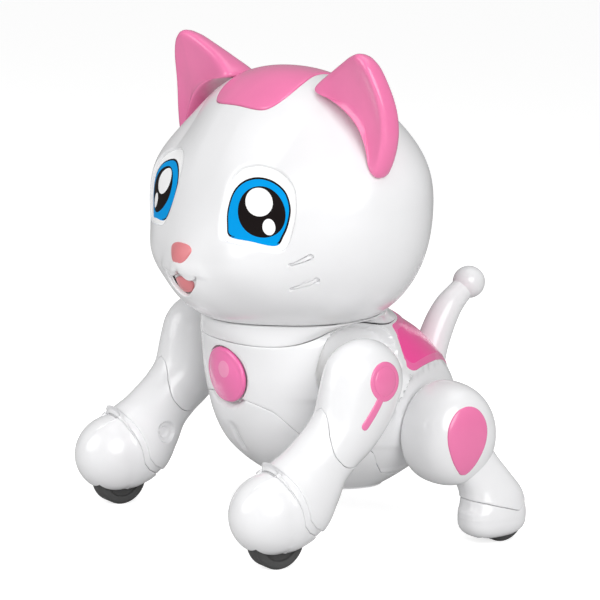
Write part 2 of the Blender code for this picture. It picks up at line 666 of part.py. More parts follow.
def front_leg(side, word):
    x = side * LEG_X
    upper = put(f"upper_arm_{word}", limb(x, UPPER_ARM, 2.2), "white_gloss")
    cut(upper, put(f"cut_arm_shaft_{word}", cylinder((side * 40, *SHOULDER), (side * 51, *SHOULDER), SHOULDER_SHAFT_R + GAP)))
    inlay = put(f"arm_inlay_{word}", cylinder((side * 60, *SHOULDER), (side * 80, *SHOULDER), 7.8, 28), "pink_gloss")
    join(inlay, put(f"add_bar_{word}", block((side * 70, -12.3, 62.5), (20, 3.4, 20), -math.radians(29))))
    keep(inlay, put(f"skin_inlay_{word}", limb(x, grown(UPPER_ARM, 0.5), 2.2)))
    cut(inlay, put(f"floor_inlay_{word}", limb(x, grown(UPPER_ARM, -1.4), 2.2)))
    pocket = put(f"pocket_{word}", cylinder((side * 62, *SHOULDER), (side * 80, *SHOULDER), 7.8 + GAP, 28))
    join(pocket, put(f"pocket_bar_{word}", block(
        (side * 70, -12.3, 62.5), (20, 3.4 + 2 * GAP, 20 + 2 * GAP), -math.radians(29))))
    cut(pocket, put(f"pocket_floor_{word}", limb(x, grown(UPPER_ARM, -1.7), 2.2)))
    cut(upper, pocket)
    lower = put(f"forearm_{word}", limb(x, LOWER_ARM, 2.0), "white_gloss")
    cut(lower, put(f"cut_upper_{word}", limb(x, grown(UPPER_ARM, GAP), 2.2)))
    cuff_in = cuff_block(side, 0.0, 40)
    cut(lower, cuff_in)
    keep_largest(lower)
    paw = put(f"paw_{word}", limb(x, PAW, 2.0), "white_gloss")
    cut(paw, cuff_block(side, GAP, -40))
    well = put(f"well_{word}", cylinder(
        (x - WHEEL_WIDTH / 2 - 1, *FRONT_AXLE), (x + WHEEL_WIDTH / 2 + 1, *FRONT_AXLE), WHEEL_R + 1.2, 22))
    cut(paw, well)
    axle_hole = put(f"axle_hole_{word}", cylinder((x - 9, *FRONT_AXLE), (x + 9, *FRONT_AXLE), AXLE_R + GAP, 16))
    cut(paw, axle_hole)
    cut(lower, well)
    for piece in (upper, inlay, lower, paw):
        move_origin(piece, (0, *SHOULDER))
    wheel(f"front_wheel_{word}", x, FRONT_AXLE)
    axle = put(f"front_axle_{word}", cylinder((x - 8.6, *FRONT_AXLE), (x + 8.6, *FRONT_AXLE), AXLE_R, 16), "steel")
    move_origin(axle, (0, *SHOULDER))


def grown(stations, amount):
    return tuple((y, z, depth + amount, width + amount) for y, z, depth, width in stations)


def cuff_block(side, offset, depth):
    """A slab on the paw side (positive depth) or the elbow side (negative depth) of the cuff plane."""
    centre = Vector((side * CUFF_AT[0], *CUFF_AT[1:])) + Vector(CUFF_NORMAL) * (-offset - depth / 2)
    turn = math.atan2(CUFF_NORMAL[2], CUFF_NORMAL[1])
    return put(f"cuff_{side}_{depth}", block(centre, (60, abs(depth), 80), turn))


def wheel(name, x, axle):
    """A tyre with rounded shoulders and a bore, as rings of points round the axle."""
    half = WHEEL_WIDTH / 2
    bore = AXLE_R + GAP
    profile = ((-half, bore), (-half, WHEEL_R - 1.4), (-half + 1.0, WHEEL_R), (half - 1.0, WHEEL_R),
               (half, WHEEL_R - 1.4), (half, bore))
    rings = []
    for k in range(24):
        angle = 2 * math.pi * k / 24
        rings.append([
            (x + along, axle[0] + radius * math.cos(angle), axle[1] + radius * math.sin(angle))
            for along, radius in profile
        ])
    tyre = put(name, closed_loop(rings), "dark_rubber")
    move_origin(tyre, (x, *axle))


def closed_loop(rings):
    """A skin through rings that come back to the first one, as on a torus."""
    mesh_data = bmesh.new()
    rows = [[mesh_data.verts.new(point) for point in ring] for ring in rings]
    count = len(rows[0])
    for low, high in zip(rows, rows[1:] + rows[:1]):
        for i in range(count):
            j = (i + 1) % count
            mesh_data.faces.new((low[i], low[j], high[j], high[i]))
    return mesh_data


THIGH_X = 52.6
THIGH_RADII = (13.0, 17.4, 21.4)
SHANK = ((47.5, 33.0, 9.5, 7.4, -6.0), (54.0, 25.0, 9.8, 8.4, -3.0), (59.0, 17.5, 11.0, 9.4, -0.6),
         (60.0, 12.0, 12.0, 9.8, 0.0))
ANKLE_AT = (HIND_X, 59.0, 14.5)
ANKLE_TURN = -math.radians(12)


def thigh_ball(side, extra):
    return ball((side * THIGH_X, *HIP), [radius + extra for radius in THIGH_RADII])


def rear_leg(side, word):
    x = side * HIND_X
    thigh = put(f"thigh_{word}", thigh_ball(side, 0.0), "white_gloss")
    cut(thigh, put(f"cut_thigh_{word}", block((side * 30, *HIP), (22, 80, 80))))
    cut(thigh, put(f"cut_hip_{word}", cylinder((side * 38, *HIP), (side * 49, *HIP), HIP_PIN_R + GAP)))
    drop = [(y * 7.6, z * 14.0) for y, z in teardrop()]
    inlay_prism = prism_x(drop, (side, 39.5, 44.0), 0.0)
    inlay = put(f"thigh_inlay_{word}", inlay_prism, "pink_gloss")
    keep(inlay, put(f"skin_thigh_{word}", thigh_ball(side, 0.5)))
    cut(inlay, put(f"floor_thigh_{word}", thigh_ball(side, -1.4)))
    pocket = put(f"pocket_thigh_{word}", prism_x(drop, (side, 39.5, 44.0), GAP))
    cut(pocket, put(f"pocket_floor_thigh_{word}", thigh_ball(side, -1.7)))
    cut(thigh, pocket)
    shank = put(f"shank_{word}", limb(x, SHANK, 2.0), "white_gloss")
    cut(shank, put(f"cut_shank_{word}", thigh_ball(side, GAP)))
    below = put(f"ankle_{word}", block(
        (x, ANKLE_AT[1], ANKLE_AT[2] - 30), (60, 80, 60), ANKLE_TURN))
    cut(shank, below)
    keep_largest(shank)
    foot = put(f"foot_{word}", ball((x, 59.5, 13.2), (10.6, 15.2, 11.6)), "white_gloss")
    cut(foot, put(f"ankle_top_{word}", block(
        (x, ANKLE_AT[1], ANKLE_AT[2] + 30 - GAP), (60, 80, 60), ANKLE_TURN)))
    well = put(f"rear_well_{word}", cylinder(
        (x - WHEEL_WIDTH / 2 - 1, *REAR_AXLE), (x + WHEEL_WIDTH / 2 + 1, *REAR_AXLE), WHEEL_R + 1.2, 22))
    cut(foot, well)
    cut(shank, well)
    hole = put(f"rear_hole_{word}", cylinder((x - 12, *REAR_AXLE), (x + 12, *REAR_AXLE), AXLE_R + GAP, 16))
    cut(foot, hole)
    pin = put(f"hip_pin_{word}", cylinder((side * 33, *HIP), (side * 48.5, *HIP), HIP_PIN_R, 20), "steel")
    wheel(f"rear_wheel_{word}", x, REAR_AXLE)
    axle = put(f"rear_axle_{word}", cylinder((x - 9.0, *REAR_AXLE), (x + 9.0, *REAR_AXLE), AXLE_R, 16), "steel")
    for piece in (thigh, inlay, shank, foot, pin, axle):
        move_origin(piece, (0, *HIP))


def teardrop():
    """A unit drop outline, round above and pointed below."""
    return [
        (math.sin(a) * (1 - 0.28 * (1 + math.cos(a - math.pi)) / 2), math.cos(a))
        for a in (2 * math.pi * i / 28 for i in range(28))
    ]


def prism_x(outline, at, extra):
    """An outline in the (y, z) plane pushed outward along X on the side at[0]."""
    side, y0, z0 = at
    points = grow(outline, extra)
    return loft([[(side * x, y0 + y, z0 + z) for y, z in points] for x in (58.0, 80.0)])


def make_tail():
    tail = put("tail", loft(tail_rings()), "white_gloss")
    join(tail, put("add_tail_ball", ball((0, 87.3, 96.3), (6.9, 6.9, 6.9), 18, 10)))
    move_origin(tail, TAIL_AT)


def tail_rings():
    centres = ((0, 68.6, 66.0), (0, 70.5, 72.0), (0, 73.4, 80.0), (0, 76.6, 86.5), (0, 81.5, 92.0), (0, 85.5, 95.0))
    radii = (6.8, 6.8, 6.7, 6.4, 5.6, 5.2)
    rings = []
    for i, (centre, radius) in enumerate(zip(centres, radii)):
        along = (Vector(centres[min(i + 1, 5)]) - Vector(centres[max(i - 1, 0)])).normalized()
        side = Vector((1, 0, 0))
        normal = along.cross(side)
        rings.append([
            Vector(centre) + side * radius * math.cos(a) + normal * radius * math.sin(a)
            for a in (2 * math.pi * k / 18 for k in range(18))
        ])
    return rings


make_torso()
make_head()
make_neck_drive()
make_leg_drive()
make_electrics()
make_controls()
for leg_side, leg_word in ((1, "left"), (-1, "right")):
    front_leg(leg_side, leg_word)
    rear_leg(leg_side, leg_word)
make_tail()
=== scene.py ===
"""Looks of the robot kitten toy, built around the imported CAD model.

Shapes are worked out in millimetres in the toy's own design frame (+X its left, it faces -Y, floor at z = 0),
and add_piece() moves them to the CAD frame. Every surface is a Skin: a function of two parameters. patch()
covers a region of a skin bounded by seams, with rounded edges, and band() covers a simple strip of one.
"""

import math

import bmesh
import bpy
import numpy as np
from mathutils import Matrix, Vector
from mathutils.geometry import delaunay_2d_cdt
from mathutils.kdtree import KDTree


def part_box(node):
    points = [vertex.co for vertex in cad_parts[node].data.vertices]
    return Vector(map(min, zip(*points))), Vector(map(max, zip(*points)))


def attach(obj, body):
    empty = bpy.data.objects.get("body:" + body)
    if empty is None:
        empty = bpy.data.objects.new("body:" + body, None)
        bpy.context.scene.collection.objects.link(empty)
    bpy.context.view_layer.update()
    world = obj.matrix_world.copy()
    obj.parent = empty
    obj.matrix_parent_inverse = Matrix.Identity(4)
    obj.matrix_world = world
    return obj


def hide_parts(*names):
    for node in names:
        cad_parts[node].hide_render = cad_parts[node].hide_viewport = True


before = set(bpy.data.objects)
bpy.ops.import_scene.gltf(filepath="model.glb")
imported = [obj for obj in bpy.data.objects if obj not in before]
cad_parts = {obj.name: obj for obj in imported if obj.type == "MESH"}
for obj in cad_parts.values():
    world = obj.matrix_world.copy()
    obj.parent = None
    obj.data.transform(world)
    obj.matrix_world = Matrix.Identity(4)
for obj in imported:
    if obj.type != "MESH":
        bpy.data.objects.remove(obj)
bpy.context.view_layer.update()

MM = 0.001
FRONT_AXLE = (-47.5, 11.2)     # (y, z) of the wheels in the design frame
REAR_AXLE = (62.0, 11.2)
WHEEL_LOW, WHEEL_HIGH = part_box("front_wheel_left")
SHIFT = np.array([0.0, (WHEEL_LOW.y + WHEEL_HIGH.y) / 2 / MM - FRONT_AXLE[0], 0.0])

SEAM = 0.10                    # half of the gap between two shells
EDGE_R = 0.32                  # radius of a shell's moulded edges
WALL = 1.8


# ---------------------------------------------------------------- small maths

def unit(vectors):
    return vectors / np.maximum(np.linalg.norm(vectors, axis=-1, keepdims=True), 1e-12)


def signed_power(value, power):
    return np.sign(value) * np.abs(value) ** power


def bump(distance, width):
    return np.exp(-((distance / width) ** 2))


def spline(rows, at):
    """Smooth values between table rows; at counts rows from 0 and may have fractions."""
    rows = np.asarray(rows, float)
    last = len(rows) - 1
    at = np.clip(at, 0, last)
    low = np.clip(np.floor(at).astype(int), 0, last - 1)
    t = (at - low)[..., None]
    p1, p2 = rows[low], rows[low + 1]
    p0 = np.where((low > 0)[..., None], rows[np.maximum(low - 1, 0)], 2 * p1 - p2)
    p3 = np.where((low < last - 1)[..., None], rows[np.minimum(low + 2, last)], 2 * p2 - p1)
    return 0.5 * (2 * p1 + (p2 - p0) * t + (2 * p0 - 5 * p1 + 4 * p2 - p3) * t ** 2
                  + (3 * p1 - p0 - 3 * p2 + p3) * t ** 3)


def closed_curve(corners, per_side=8):
    """A smooth closed outline through the corner points."""
    corners = np.asarray(corners, float)
    count = len(corners)
    padded = np.vstack([corners[-2:], corners, corners[:3]])
    return spline(padded, 2 + np.arange(count * per_side) / per_side)


def open_curve(corners, per_side=8):
    corners = np.asarray(corners, float)
    return spline(corners, np.linspace(0, len(corners) - 1, (len(corners) - 1) * per_side + 1))


def mirror_points(points):
    return np.asarray(points) * np.array([-1.0] + [1.0] * (np.shape(points)[-1] - 1))


def circle(centre, half_x, half_y, count=48, turn=0.0):
    angle = np.linspace(0, 2 * math.pi, count, endpoint=False)
    x, y = half_x * np.cos(angle), half_y * np.sin(angle)
    c, s = math.cos(turn), math.sin(turn)
    return np.stack([centre[0] + x * c - y * s, centre[1] + x * s + y * c], -1)


def capsule(start, end, radius, count=12):
    """A slot outline with round ends, counterclockwise."""
    start, end = np.asarray(start, float), np.asarray(end, float)
    along = math.atan2(*(end - start)[::-1])
    arc = np.linspace(-math.pi / 2, math.pi / 2, count)
    ends = [end + radius * np.stack([np.cos(along + arc), np.sin(along + arc)], -1),
            start + radius * np.stack([np.cos(along + math.pi + arc), np.sin(along + math.pi + arc)], -1)]
    return np.vstack(ends)


def tapered_slot(start, end, start_radius, end_radius, count=10):
    """A slot outline that widens from start to end, counterclockwise."""
    start, end = np.asarray(start, float), np.asarray(end, float)
    along = math.atan2(*(end - start)[::-1])
    arc = np.linspace(-math.pi / 2, math.pi / 2, count)
    return np.vstack([end + end_radius * np.stack([np.cos(along + arc), np.sin(along + arc)], -1),
                      start + start_radius * np.stack([np.cos(along + math.pi + arc),
                                                       np.sin(along + math.pi + arc)], -1)])


def resample(points, spacing, closed=True):
    """The same line with even steps of about spacing."""
    points = np.asarray(points, float)
    if closed:
        points = np.vstack([points, points[:1]])
    length = np.concatenate([[0], np.cumsum(np.linalg.norm(np.diff(points, axis=0), axis=1))])
    steps = max(int(round(length[-1] / spacing)), 3)
    at = np.linspace(0, length[-1], steps + 1)
    out = np.stack([np.interp(at, length, column) for column in points.T], -1)
    return out[:-1] if closed else out


def inside(points, loop):
    """Which 2-D points lie inside the closed loop."""
    x, y = points[:, 0], points[:, 1]
    hit = np.zeros(len(points), bool)
    for (x0, y0), (x1, y1) in zip(loop, np.roll(loop, -1, axis=0)):
        crosses = (y0 > y) != (y1 > y)
        if crosses.any():
            where = x0 + (y - y0) * (x1 - x0) / (y1 - y0 if y1 != y0 else 1e-12)
            hit ^= crosses & (x < where)
    return hit


# ---------------------------------------------------------------- skins

class Skin:
    """A surface as a function of (n, 2) parameters, both in units of about a millimetre."""

    def __init__(self, point, flip=False):
        self.point = point
        self.sign = -1.0 if flip else 1.0

    def frame(self, uv, step=0.02):
        du, dv = np.array([step, 0.0]), np.array([0.0, step])
        along_u = (self.point(uv + du) - self.point(uv - du)) / (2 * step)
        along_v = (self.point(uv + dv) - self.point(uv - dv)) / (2 * step)
        return along_u, along_v, self.sign * unit(np.cross(along_u, along_v))

    def move(self, uv, offset):
        """The parameters reached by walking along the surface by a 3-D offset."""
        for _ in range(2):
            pu, pv, _ = self.frame(uv)
            a, b, c = (pu * pu).sum(-1), (pu * pv).sum(-1), (pv * pv).sum(-1)
            r1, r2 = (pu * offset).sum(-1) / 2, (pv * offset).sum(-1) / 2
            det = np.maximum(a * c - b * b, 1e-9)
            uv = uv + np.stack([(c * r1 - b * r2) / det, (a * r2 - b * r1) / det], -1)
        return uv

    def ring(self, uv, distance, closed=True):
        """The line moved sideways on the surface, to its left as seen from outside."""
        points = self.point(uv)
        _, _, normal = self.frame(uv)
        if closed:
            along = np.roll(points, -1, axis=0) - np.roll(points, 1, axis=0)
        else:
            along = np.gradient(points, axis=0)
        return self.move(uv, unit(np.cross(normal, along)) * distance)

    def offset(self, amount):
        return Skin(lambda uv: self.point(uv) + self.frame(uv)[2] * amount, self.sign < 0)

    def project(self, outline, origin, facing, start, upward=(0, 0, 1)):
        """Parameters of a flat outline drawn at origin and pushed onto the skin along facing."""
        facing = unit(np.asarray(facing, float))
        across = unit(np.cross(upward, facing))
        up = np.cross(facing, across)
        outline = np.asarray(outline, float)
        uv = np.tile(np.asarray(start, float), (len(outline), 1))
        for _ in range(30):
            gap = self.point(uv) - np.asarray(origin, float)
            miss = outline - np.stack([gap @ across, gap @ up], -1)
            pu, pv, _ = self.frame(uv)
            a, b, c, d = pu @ across, pv @ across, pu @ up, pv @ up
            det = a * d - b * c
            det = np.where(np.abs(det) < 1e-6, 1e-6, det)
            along, rise = miss.T
            step = np.stack([(d * along - b * rise) / det, (a * rise - c * along) / det], -1)
            uv = uv + np.clip(step, -8, 8)
        return uv


def edge_profile(radius=EDGE_R, steps=3):
    """(distance in from the edge, drop) of a rounded edge."""
    angles = [math.pi / 2 * k / steps for k in range(steps + 1)]
    return [(radius * (1 - math.cos(a)), -radius * (1 - math.sin(a))) for a in angles]


class Loop:
    """A closed boundary in skin parameters, counterclockwise from outside, and its edge's profile."""

    def __init__(self, uv, profile=None, weld=None):
        self.uv = np.asarray(uv, float)
        self.profile = edge_profile() if profile is None else profile
        self.weld = np.zeros(len(self.uv), bool) if weld is None else weld


def triangulate(points, edges):
    out = delaunay_2d_cdt([Vector(p) for p in points], edges, [], 0, 1e-7)
    return np.array([tuple(v) for v in out[0]]), [tuple(f) for f in out[2]], out[3]


def patch(skin, outer, holes=(), creases=(), spacing=1.4, wall=WALL, relief=None):
    """Points and faces of a region of a skin, as a closed shell. creases are extra lines in it."""
    uv, height, edges = [], [], []

    def add_line(line, level, closed=True):
        first = sum(len(block) for block in uv)
        count = len(line)
        uv.append(line)
        height.append(np.broadcast_to(level, count).astype(float))
        edges.extend((first + i, first + (i + 1) % count) for i in range(count if closed else count - 1))

    rims, limits = [], []
    for loop, side in [(outer, 1)] + [(hole, -1) for hole in holes]:
        lines = [skin.ring(loop.uv, side * distance) for distance, _ in loop.profile]
        if loop.weld.any():
            for line, (distance, _) in zip(lines, loop.profile):
                line[loop.weld] = loop.uv[loop.weld]
        fixed = loop.weld
        for k, (line, (_, drop)) in enumerate(zip(lines, loop.profile)):
            if k and fixed.any():
                run = [i for i in range(len(line)) if not fixed[i]]
                add_line(line[run], drop, closed=False)
            else:
                add_line(line, np.where(fixed, 0.0, drop))
        rims.append(lines[0])
        limits.append(lines[-1])
    for line, level, closed in creases:
        add_line(line, level, closed)

    low, high = limits[0].min(0), limits[0].max(0)
    columns = np.arange(low[0], high[0], spacing)
    rows = np.arange(low[1], high[1], spacing * 0.866)
    grid = np.array([(x + (k % 2) * spacing / 2, y) for k, y in enumerate(rows) for x in columns])
    grid = grid[inside(grid, limits[0])]
    for limit in limits[1:]:
        grid = grid[~inside(grid, limit)]
    lines = np.vstack(uv)
    tree = KDTree(len(lines))
    for i, (x, y) in enumerate(lines):
        tree.insert((x, y, 0), i)
    tree.balance()
    clear = [tree.find((x, y, 0))[2] > 0.62 * spacing for x, y in grid]
    uv.append(grid[clear])
    height.append(np.zeros(int(np.sum(clear))))

    given = np.vstack(uv)
    levels = np.concatenate(height)
    points, faces, origin = triangulate(given, edges)
    level = np.array([levels[ids[0]] if ids else np.nan for ids in origin])
    if np.isnan(level).any():
        known = ~np.isnan(level)
        for i in np.where(~known)[0]:
            level[i] = level[known][np.argmin(((points[known] - points[i]) ** 2).sum(-1))]
    centre = np.array([points[list(f)].mean(0) for f in faces])
    keep = inside(centre, rims[0])
    for rim in rims[1:]:
        keep &= ~inside(centre, rim)
    faces = [f for f, k in zip(faces, keep) if k]
    used = sorted({i for f in faces for i in f})
    number = {old: new for new, old in enumerate(used)}
    faces = [tuple(number[i] for i in f) for f in faces]
    points, level = points[used], level[used]
    welded = np.zeros(len(points), bool)
    if outer.weld.any():
        joined = outer.uv[outer.weld]
        welded = np.array([np.min(((joined - p) ** 2).sum(-1)) < 1e-8 for p in points])
    base = skin.point(points)
    normal = skin.frame(points)[2]
    sink = np.zeros(len(points)) if relief is None else relief(base)
    top = base + normal * (level + sink)[:, None]
    if skin.sign < 0:
        faces = [f[::-1] for f in faces]
    shell = close_shell(top, base + normal * (np.minimum(sink, 0) - wall)[:, None], faces, welded)
    return shell[0], shell[1], points, centre


def face_middles(uv, faces):
    """Middles, in skin parameters, of the faces of a shell that patch() made."""
    count = len(uv)
    return np.array([uv[[i % count for i in f]].mean(0) for f in faces])


def solid_band(skin, low, high, rows=24, profile_low=None, profile_high=None):
    """The strip between two closed lines as a solid, its ends closed by fans."""
    points, faces = band(skin, low, high, rows, profile_low, profile_high, wall=1.0)
    half = len(points) // 2
    count = len(low)
    faces = [f for f in faces if max(f) < half]
    points = points[:half]
    first, last = points[:count].mean(0), points[-count:].mean(0)
    points = np.vstack([points, first, last])
    ends = []
    for i in range(count):
        j = (i + 1) % count
        ends.append((j, i, half) if skin.sign > 0 else (i, j, half))
        a, b = half - count + i, half - count + j
        ends.append((a, b, half + 1) if skin.sign > 0 else (b, a, half + 1))
    return points, faces + ends


def close_shell(top, under, faces, welded):
    """Joins an outer and an inner skin along their free edges."""
    count = len(top)
    directed = {(f[i], f[(i + 1) % len(f)]) for f in faces for i in range(len(f))}
    rim = [(a, b) for a, b in directed if (b, a) not in directed and not (welded[a] and welded[b])]
    made = list(faces) + [tuple(count + i for i in f[::-1]) for f in faces]
    made += [(b, a, count + a, count + b) for a, b in sorted(rim)]
    return np.vstack([top, under]), made


def band(skin, low, high, rows=24, profile_low=None, profile_high=None, wall=WALL, closed=True, relief=None):
    """A strip between two lines of parameters with equal counts, as a closed shell."""
    low, high = np.asarray(low, float), np.asarray(high, float)
    length = np.linalg.norm(skin.point(high) - skin.point(low), axis=-1)
    length = np.maximum(length, 1e-6)
    lines = []
    for distance, drop in profile_low or [(0.0, 0.0)]:
        lines.append((low + (high - low) * (distance / length)[:, None], drop))
    start = (profile_low or [(0.0, 0.0)])[-1][0]
    stop = (profile_high or [(0.0, 0.0)])[-1][0]
    for k in range(1, rows):
        share = (start + (length - start - stop) * k / rows) / length
        lines.append((low + (high - low) * share[:, None], 0.0))
    for distance, drop in (profile_high or [(0.0, 0.0)])[::-1]:
        lines.append((low + (high - low) * (1 - distance / length)[:, None], drop))
    count = len(low)
    uv = np.vstack([line for line, _ in lines])
    level = np.repeat([drop for _, drop in lines], count)
    faces = []
    for r in range(len(lines) - 1):
        for i in range(count if closed else count - 1):
            j = (i + 1) % count
            faces.append((r * count + i, r * count + j, (r + 1) * count + j, (r + 1) * count + i))
    base = skin.point(uv)
    inner = np.clip(uv, uv.min(0) + [0, 0.02], uv.max(0) - [0, 0.02])
    normal = skin.frame(inner)[2]
    sink = np.zeros(len(uv)) if relief is None else relief(base)
    if skin.sign < 0:
        faces = [f[::-1] for f in faces]
    return close_shell(base + normal * (level + sink)[:, None],
                       base + normal * (np.minimum(sink, 0) - wall)[:, None], faces, np.zeros(len(uv), bool))


# ---------------------------------------------------------------- pieces

def add_piece(name, points, faces, material, body, replaces=(), slot=None, sharp=40.0, pick=None, extra=()):
    """A mesh from design-frame points that rides on a body. pick gives each face's material number."""
    mesh = bpy.data.meshes.new(name)
    mesh.from_pydata(((np.asarray(points) + SHIFT) * MM).tolist(), [], [list(map(int, f)) for f in faces])
    for one in (material, *extra):
        mesh.materials.append(one)
    if pick is not None:
        mesh.polygons.foreach_set("material_index", np.asarray(pick, np.int32))
    work = bmesh.new()
    work.from_mesh(mesh)
    bmesh.ops.remove_doubles(work, verts=work.verts, dist=2e-6)
    bmesh.ops.dissolve_degenerate(work, edges=work.edges, dist=1e-7)
    work.to_mesh(mesh)
    work.free()
    mesh.shade_smooth()
    mesh.set_sharp_from_angle(angle=math.radians(sharp))
    obj = bpy.data.objects.new(name, mesh)
    bpy.context.scene.collection.objects.link(obj)
    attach(obj, body)
    if replaces:
        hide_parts(*replaces)
    return obj


def both_sides(name, points, faces, material, body, replaces=(), **options):
    """The left piece as given, and its mirror image on the right. {} in a name becomes the side."""
    made = []
    for word, shape, sides in (("left", np.asarray(points), faces),
                               ("right", mirror_points(points), [tuple(f)[::-1] for f in faces])):
        made.append(add_piece(name.format(word), shape, sides, material, body.format(word),
                              tuple(r.format(word) for r in replaces), **options))
    return made


def grid_faces(rows, columns, closed=True):
    faces = []
    for r in range(rows - 1):
        for i in range(columns if closed else columns - 1):
            j = (i + 1) % columns
            faces.append((r * columns + i, r * columns + j, (r + 1) * columns + j, (r + 1) * columns + i))
    return faces


def turned(profile, origin, axis, count=64):
    """A turned solid. Its profile's rows are (radius, distance along the axis)."""
    axis = unit(np.asarray(axis, float))
    side = unit(np.cross(axis, (1.0, 0, 0) if abs(axis[0]) < 0.9 else (0, 1.0, 0)))
    other = np.cross(axis, side)
    angle = np.linspace(0, 2 * math.pi, count, endpoint=False)
    ring = np.cos(angle)[:, None] * side + np.sin(angle)[:, None] * other
    points = np.vstack([np.asarray(origin, float) + ring * r + axis * h for r, h in profile])
    return points, grid_faces(len(profile), count)


def rounded(profile, radius=0.5, steps=3):
    """The profile with its inner corners rounded off."""
    profile = [np.asarray(p, float) for p in profile]
    out = [profile[0]]
    for before, corner, after in zip(profile, profile[1:], profile[2:]):
        reach = min(radius, np.linalg.norm(before - corner) / 2.2, np.linalg.norm(after - corner) / 2.2)
        start = corner + unit(before - corner) * reach
        stop = corner + unit(after - corner) * reach
        for t in np.linspace(0, 1, steps + 1):
            out.append((1 - t) ** 2 * start + 2 * t * (1 - t) * corner + t ** 2 * stop)
    return out + [profile[-1]]


def crossing(skin, around, field, low, high, axis=1):
    """For each value of the first parameter, where the field changes sign along the other one."""
    around = np.asarray(around, float)
    low = np.broadcast_to(low, around.shape).astype(float).copy()
    high = np.broadcast_to(high, around.shape).astype(float).copy()

    def value(other):
        pair = (around, other) if axis == 1 else (other, around)
        return field(skin.point(np.stack(pair, -1)))

    first = value(low)
    for _ in range(40):
        middle = (low + high) / 2
        same = np.sign(value(middle)) == np.sign(first)
        low, high = np.where(same, middle, low), np.where(same, high, middle)
    return (low + high) / 2


def pillow(outline, middle, rings, place):
    """A flap: rings of the outline drawn towards its middle. rings are (scale, depth), front to back."""
    outline, middle = np.asarray(outline, float), np.asarray(middle, float)
    rows = [place(middle + (outline - middle) * scale, depth) for scale, depth in rings]
    count = len(outline)
    points = np.vstack(rows)
    faces = grid_faces(len(rows), count)
    return points, faces


# ---------------------------------------------------------------- materials

def surface_material(name, color, roughness=0.28, coat=0.0, grain=0.0, grain_size=900.0, metallic=0.0,
                     subsurface=0.0, mottle=0.02, specular=0.5):
    """Moulded plastic: a faint mottle of colour and gloss, and a fine bump."""
    material = bpy.data.materials.new(name)
    material.use_nodes = True
    tree = material.node_tree
    shader = tree.nodes["Principled BSDF"]
    shader.inputs["Metallic"].default_value = metallic
    shader.inputs["Coat Weight"].default_value = coat
    shader.inputs["Specular IOR Level"].default_value = specular
    shader.inputs["Coat Roughness"].default_value = 0.06
    if subsurface:
        shader.inputs["Subsurface Weight"].default_value = subsurface
        shader.inputs["Subsurface Radius"].default_value = (1.0, 0.7, 0.6)
        shader.inputs["Subsurface Scale"].default_value = 0.002
    place = tree.nodes.new("ShaderNodeTexCoord")
    cloud = tree.nodes.new("ShaderNodeTexNoise")
    cloud.inputs["Scale"].default_value = 60.0
    cloud.inputs["Detail"].default_value = 3.0
    tree.links.new(place.outputs["Object"], cloud.inputs["Vector"])
    ramp = tree.nodes.new("ShaderNodeValToRGB")
    for stop, factor in zip(ramp.color_ramp.elements, (1 - mottle, 1 + mottle)):
        stop.color = (*[min(1.0, c * factor) for c in color], 1)
    ramp.color_ramp.elements[0].position = 0.35
    ramp.color_ramp.elements[1].position = 0.65
    tree.links.new(cloud.outputs["Fac"], ramp.inputs["Fac"])
    tree.links.new(ramp.outputs["Color"], shader.inputs["Base Color"])
    gloss = tree.nodes.new("ShaderNodeMapRange")
    gloss.inputs["To Min"].default_value = roughness * 0.9
    gloss.inputs["To Max"].default_value = roughness * 1.12
    tree.links.new(cloud.outputs["Fac"], gloss.inputs["Value"])
    tree.links.new(gloss.outputs["Result"], shader.inputs["Roughness"])
    if grain:
        fine = tree.nodes.new("ShaderNodeTexNoise")
        fine.inputs["Scale"].default_value = grain_size
        fine.inputs["Detail"].default_value = 2.0
        bump_node = tree.nodes.new("ShaderNodeBump")
        bump_node.inputs["Strength"].default_value = grain
        bump_node.inputs["Distance"].default_value = 0.0002
        tree.links.new(place.outputs["Object"], fine.inputs["Vector"])
        tree.links.new(fine.outputs["Fac"], bump_node.inputs["Height"])
        tree.links.new(bump_node.outputs["Normal"], shader.inputs["Normal"])
    return material


WHITE = surface_material("white_shell", (0.83, 0.83, 0.84), 0.24, coat=0.35, grain=0.04, mottle=0.008)
PINK = surface_material("pink_shell", (0.84, 0.19, 0.405), 0.24, coat=0.3, grain=0.04, mottle=0.02)
# A lighter pink for the painted highlight on the chest button.
PINK_PAINTED_HIGHLIGHT = surface_material("pink_painted_highlight", (0.88, 0.29, 0.50), 0.24, coat=0.3, grain=0.04)
MAGENTA = surface_material("magenta_panel", (0.90, 0.06, 0.32), 0.2, coat=0.4, grain=0.03)
# A lighter copy of the magenta: painted light on facets of the back panel.
MAGENTA_PAINTED_LIT_FACET = surface_material("magenta_painted_lit_facet", (0.86, 0.14, 0.38), 0.2, coat=0.4, grain=0.03)
BUTTON_PINK = surface_material("button_plastic", (0.86, 0.17, 0.42), 0.16, coat=0.5, grain=0.02,
                               subsurface=0.1)
SALMON = surface_material("salmon_soft_plastic", (0.72, 0.22, 0.24), 0.38, coat=0.1, grain=0.12)
EYE_WHITE = surface_material("eye_plate_white", (0.96, 0.96, 0.96), 0.4, mottle=0.004, specular=0.1)
EYE_BLUE = surface_material("eye_print_blue", (0.0, 0.315, 0.76), 0.5, mottle=0.015, specular=0.03)
EYE_BLACK = surface_material("eye_print_black", (0.010, 0.007, 0.007), 0.5, specular=0.03)
RUBBER = surface_material("wheel_rubber", (0.058, 0.058, 0.058), 0.62, grain=0.5, grain_size=1400.0,
                          mottle=0.12)
HUB = surface_material("wheel_hub", (0.11, 0.11, 0.11), 0.42, grain=0.15, mottle=0.05)
DARK = surface_material("dark_opening", (0.02, 0.02, 0.022), 0.6, grain=0.2)
STEEL = surface_material("axle_steel", (0.55, 0.56, 0.58), 0.3, metallic=1.0, grain=0.2, grain_size=2500.0)
SOFT_WHITE = surface_material("inner_plastic", (0.62, 0.63, 0.65), 0.45, grain=0.2, mottle=0.03)
